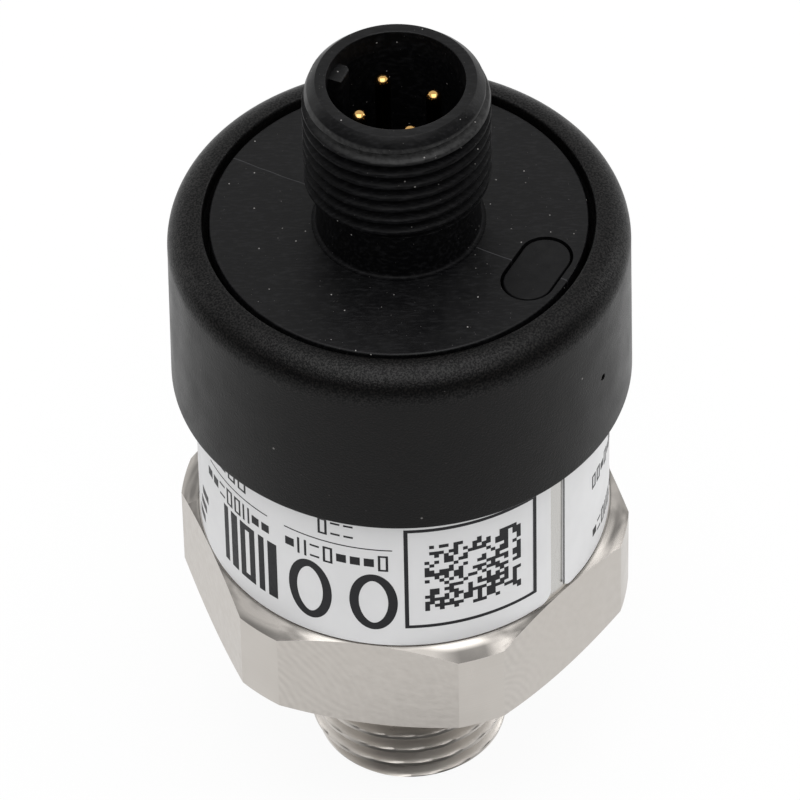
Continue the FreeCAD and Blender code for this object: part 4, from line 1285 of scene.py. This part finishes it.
class TRANSMITTER_OT_plug(bpy.types.Operator):
    """Mould the threaded plug shell, its coding key and the contacts"""

    bl_idname = "transmitter.plug"
    bl_label = "Plug and contacts"

    def execute(self, context):
        sizes = context.scene.transmitter_plug
        colours = context.scene.transmitter_finish
        rim = top("connector_insert")
        disc_top = top("head_cap") - DISC_SINK
        shell = turned("plug_shell", self.section(sizes, rim, disc_top), closed=False)
        press_thread(
            shell, sizes.thread_radius, sizes.thread_depth, sizes.thread_pitch,
            sizes.thread_phase, disc_top + 3.4 * MM, rim - 0.7 * MM,
        )
        material = look("insert_plastic", insert_plastic, colours, False)
        finish_piece(shell, "insert_plastic", [material])
        smooth(shell, 40.0)
        self.add_key(sizes, rim, material)
        self.add_contacts(colours)
        return {"FINISHED"}

    def section(self, sizes, rim, disc_top):
        thread = sizes.thread_radius
        floor = rim - sizes.socket_depth
        thread_top = rim - 1.56 * MM
        thread_foot = disc_top + 4.05 * MM
        cone = ruled((thread - 0.35 * MM, rim - 0.56 * MM), (thread, thread_top), 0.05 * MM)
        dense = ruled((thread, thread_top), (thread, thread_foot), 0.042 * MM)
        run = ruled((thread, thread_foot), (sizes.neck_radius, thread_foot - 0.45 * MM), 0.045 * MM)
        return [
            (0, disc_top - 0.3 * MM), (sizes.neck_radius + 0.34 * MM, disc_top - 0.3 * MM),
            (sizes.neck_radius + 0.34 * MM, disc_top + 0.03 * MM),
            (sizes.neck_radius, disc_top + 0.03 * MM, 0.28 * MM),
            *run[::-1], *dense[::-1], *cone[::-1],
            (thread - 0.87 * MM, rim, 0.06 * MM),
            (sizes.socket_radius, rim, 0.10 * MM),
            (sizes.socket_radius, floor, 0.3 * MM), (0, floor),
        ]

    def add_key(self, sizes, rim, material):
        """Round-nosed key that runs down the socket's wall."""
        low = rim - sizes.socket_depth
        high = rim - 0.9 * MM
        deselect()
        bpy.ops.mesh.primitive_cube_add(size=1.0, location=(0, 0, 0))
        key = adopt("coding_key")
        inner = sizes.socket_radius - 0.9 * MM
        outer = sizes.socket_radius + 0.25 * MM
        grow = Matrix.Diagonal((outer - inner, sizes.key_width, high - low, 1))
        place = Matrix.Translation(((inner + outer) / 2, 0, (low + high) / 2))
        key.data.transform(Matrix.Rotation(sizes.key_turn, 4, "Z") @ place @ grow)
        edit(key)
        direction = Vector((math.cos(sizes.key_turn), math.sin(sizes.key_turn), 0))
        pick(key, "edges", lambda edge: self.is_inner(key, edge, direction, inner))
        bpy.ops.mesh.bevel(offset=0.3 * MM, segments=6, affect="EDGES")
        close()
        finish_piece(key, "insert_plastic", [material])
        smooth(key, 35.0)

    def is_inner(self, key, edge, direction, inner):
        return all(key.data.vertices[index].co.dot(direction) < inner + 0.01 * MM for index in edge.vertices)

    def add_contacts(self, colours):
        """Turn one gold pin and set a copy at each contact's place."""
        node = "contact_pin_1"
        low, high = foot(node), top(node)
        shoulder = 43.45 * MM
        hub = 42.25 * MM
        first = turned("contact", [
            (0, low), (0.35 * MM, low, 0.05 * MM), (0.35 * MM, hub), (0.8 * MM, hub),
            (0.8 * MM, shoulder), (0.5 * MM, shoulder), (0.5 * MM, high, 0.42 * MM), (0, high),
        ], SMALL_STEPS, closed=False, easing=8)
        material = look("gold_plate", gold_plate, colours)
        for index in range(1, 5):
            node = "contact_pin_%d" % index
            spot = middle(node)
            pin = first.copy()
            pin.data = first.data.copy()
            pin.name = pin.data.name = "contact_%d" % index
            bpy.context.scene.collection.objects.link(pin)
            pin.data.transform(Matrix.Translation((spot.x, spot.y, 0)))
            finish_piece(pin, "gold_plate", [material], node)
            smooth(pin, 50.0)
        bpy.data.objects.remove(first)


class TRANSMITTER_OT_inside(bpy.types.Operator):
    """Finish the solids inside the case"""

    bl_idname = "transmitter.inside"
    bl_label = "Inner pieces"

    def execute(self, context):
        colours = context.scene.transmitter_finish
        made = {
            "sensor_cell": look(
                "polished_steel", turned_steel, colours, "polished_steel", (0.10, 0.18), 0.0012,
            ),
            "case_gasket": look("seal_rubber", seal_rubber, colours),
            "insert_seal_ring": look("seal_rubber", seal_rubber, colours),
            "header_pins": look("gold_plate", gold_plate, colours),
        }
        for name, base, second, roughness, metallic, scale, nodes in INNER:
            material = hidden_finish(name, base, roughness, metallic, scale, second)
            for node in nodes:
                made[node] = material
        for node, material in made.items():
            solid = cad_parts[node]
            solid.data.materials.clear()
            solid.data.materials.append(material)
            for face in solid.data.polygons:
                face.material_index = 0
        return {"FINISHED"}


INNER = (
    # name, colour, second colour, roughness, metallic, grain, solids
    ("solder", (0.62, 0.62, 0.62), (0.50, 0.50, 0.51), 0.25, 1.0, 2.0, ("solder_joints",)),
    ("membrane_cloth", (0.80, 0.80, 0.78), (0.68, 0.68, 0.66), 0.9, 0.0, 12.0, ("vent_membrane",)),
    ("carrier_plastic", (0.10, 0.10, 0.11), (0.07, 0.07, 0.08), 0.5, 0.0, 4.0, ("board_carrier",)),
    (
        "circuit_board", (0.03, 0.17, 0.07), (0.05, 0.22, 0.10), 0.35, 0.0, 1.2,
        ("sensor_board", "amplifier_board", "connector_board"),
    ),
    ("chip_package", (0.03, 0.03, 0.03), (0.05, 0.05, 0.05), 0.55, 0.0, 5.0, ("signal_chip", "board_header")),
    ("capacitor_ceramic", (0.42, 0.30, 0.19), (0.50, 0.38, 0.26), 0.4, 0.0, 3.0, ("chip_capacitors",)),
    ("ribbon_film", (0.55, 0.27, 0.05), (0.45, 0.20, 0.03), 0.3, 0.0, 1.0, ("flex_ribbon",)),
)


class TRANSMITTER_PT_panel(bpy.types.Panel):
    """Lists the steps that build the transmitter"""

    bl_idname = "TRANSMITTER_PT_panel"
    bl_label = "Pressure transmitter"
    bl_space_type = "VIEW_3D"
    bl_region_type = "UI"
    bl_category = "Transmitter"

    def draw(self, context):
        for operator in OPERATORS:
            self.layout.operator(operator.bl_idname)
        for name in GROUPS:
            group = getattr(context.scene, name)
            box = self.layout.box()
            for key in group.__annotations__:
                box.prop(group, key)


OPERATORS = (
    TRANSMITTER_OT_stage,
    TRANSMITTER_OT_connection,
    TRANSMITTER_OT_case,
    TRANSMITTER_OT_label,
    TRANSMITTER_OT_cap,
    TRANSMITTER_OT_insert,
    TRANSMITTER_OT_plug,
    TRANSMITTER_OT_inside,
)

GROUPS = {
    "transmitter_connection": ConnectionSizes,
    "transmitter_plug": PlugSizes,
    "transmitter_label": LabelSizes,
    "transmitter_finish": FinishColours,
    "transmitter_stage": StageSizes,
}


def register():
    for item in (*GROUPS.values(), *OPERATORS, TRANSMITTER_PT_panel):
        bpy.utils.register_class(item)
    for name, group in GROUPS.items():
        setattr(bpy.types.Scene, name, bpy.props.PointerProperty(type=group))


def unregister():
    for name in GROUPS:
        delattr(bpy.types.Scene, name)
    for item in (TRANSMITTER_PT_panel, *reversed(OPERATORS), *reversed(GROUPS.values())):
        bpy.utils.unregister_class(item)


def main():
    register()
    for operator in OPERATORS:
        group, name = operator.bl_idname.split(".")
        getattr(getattr(bpy.ops, group), name)()


if __name__ == "__main__":
    main()
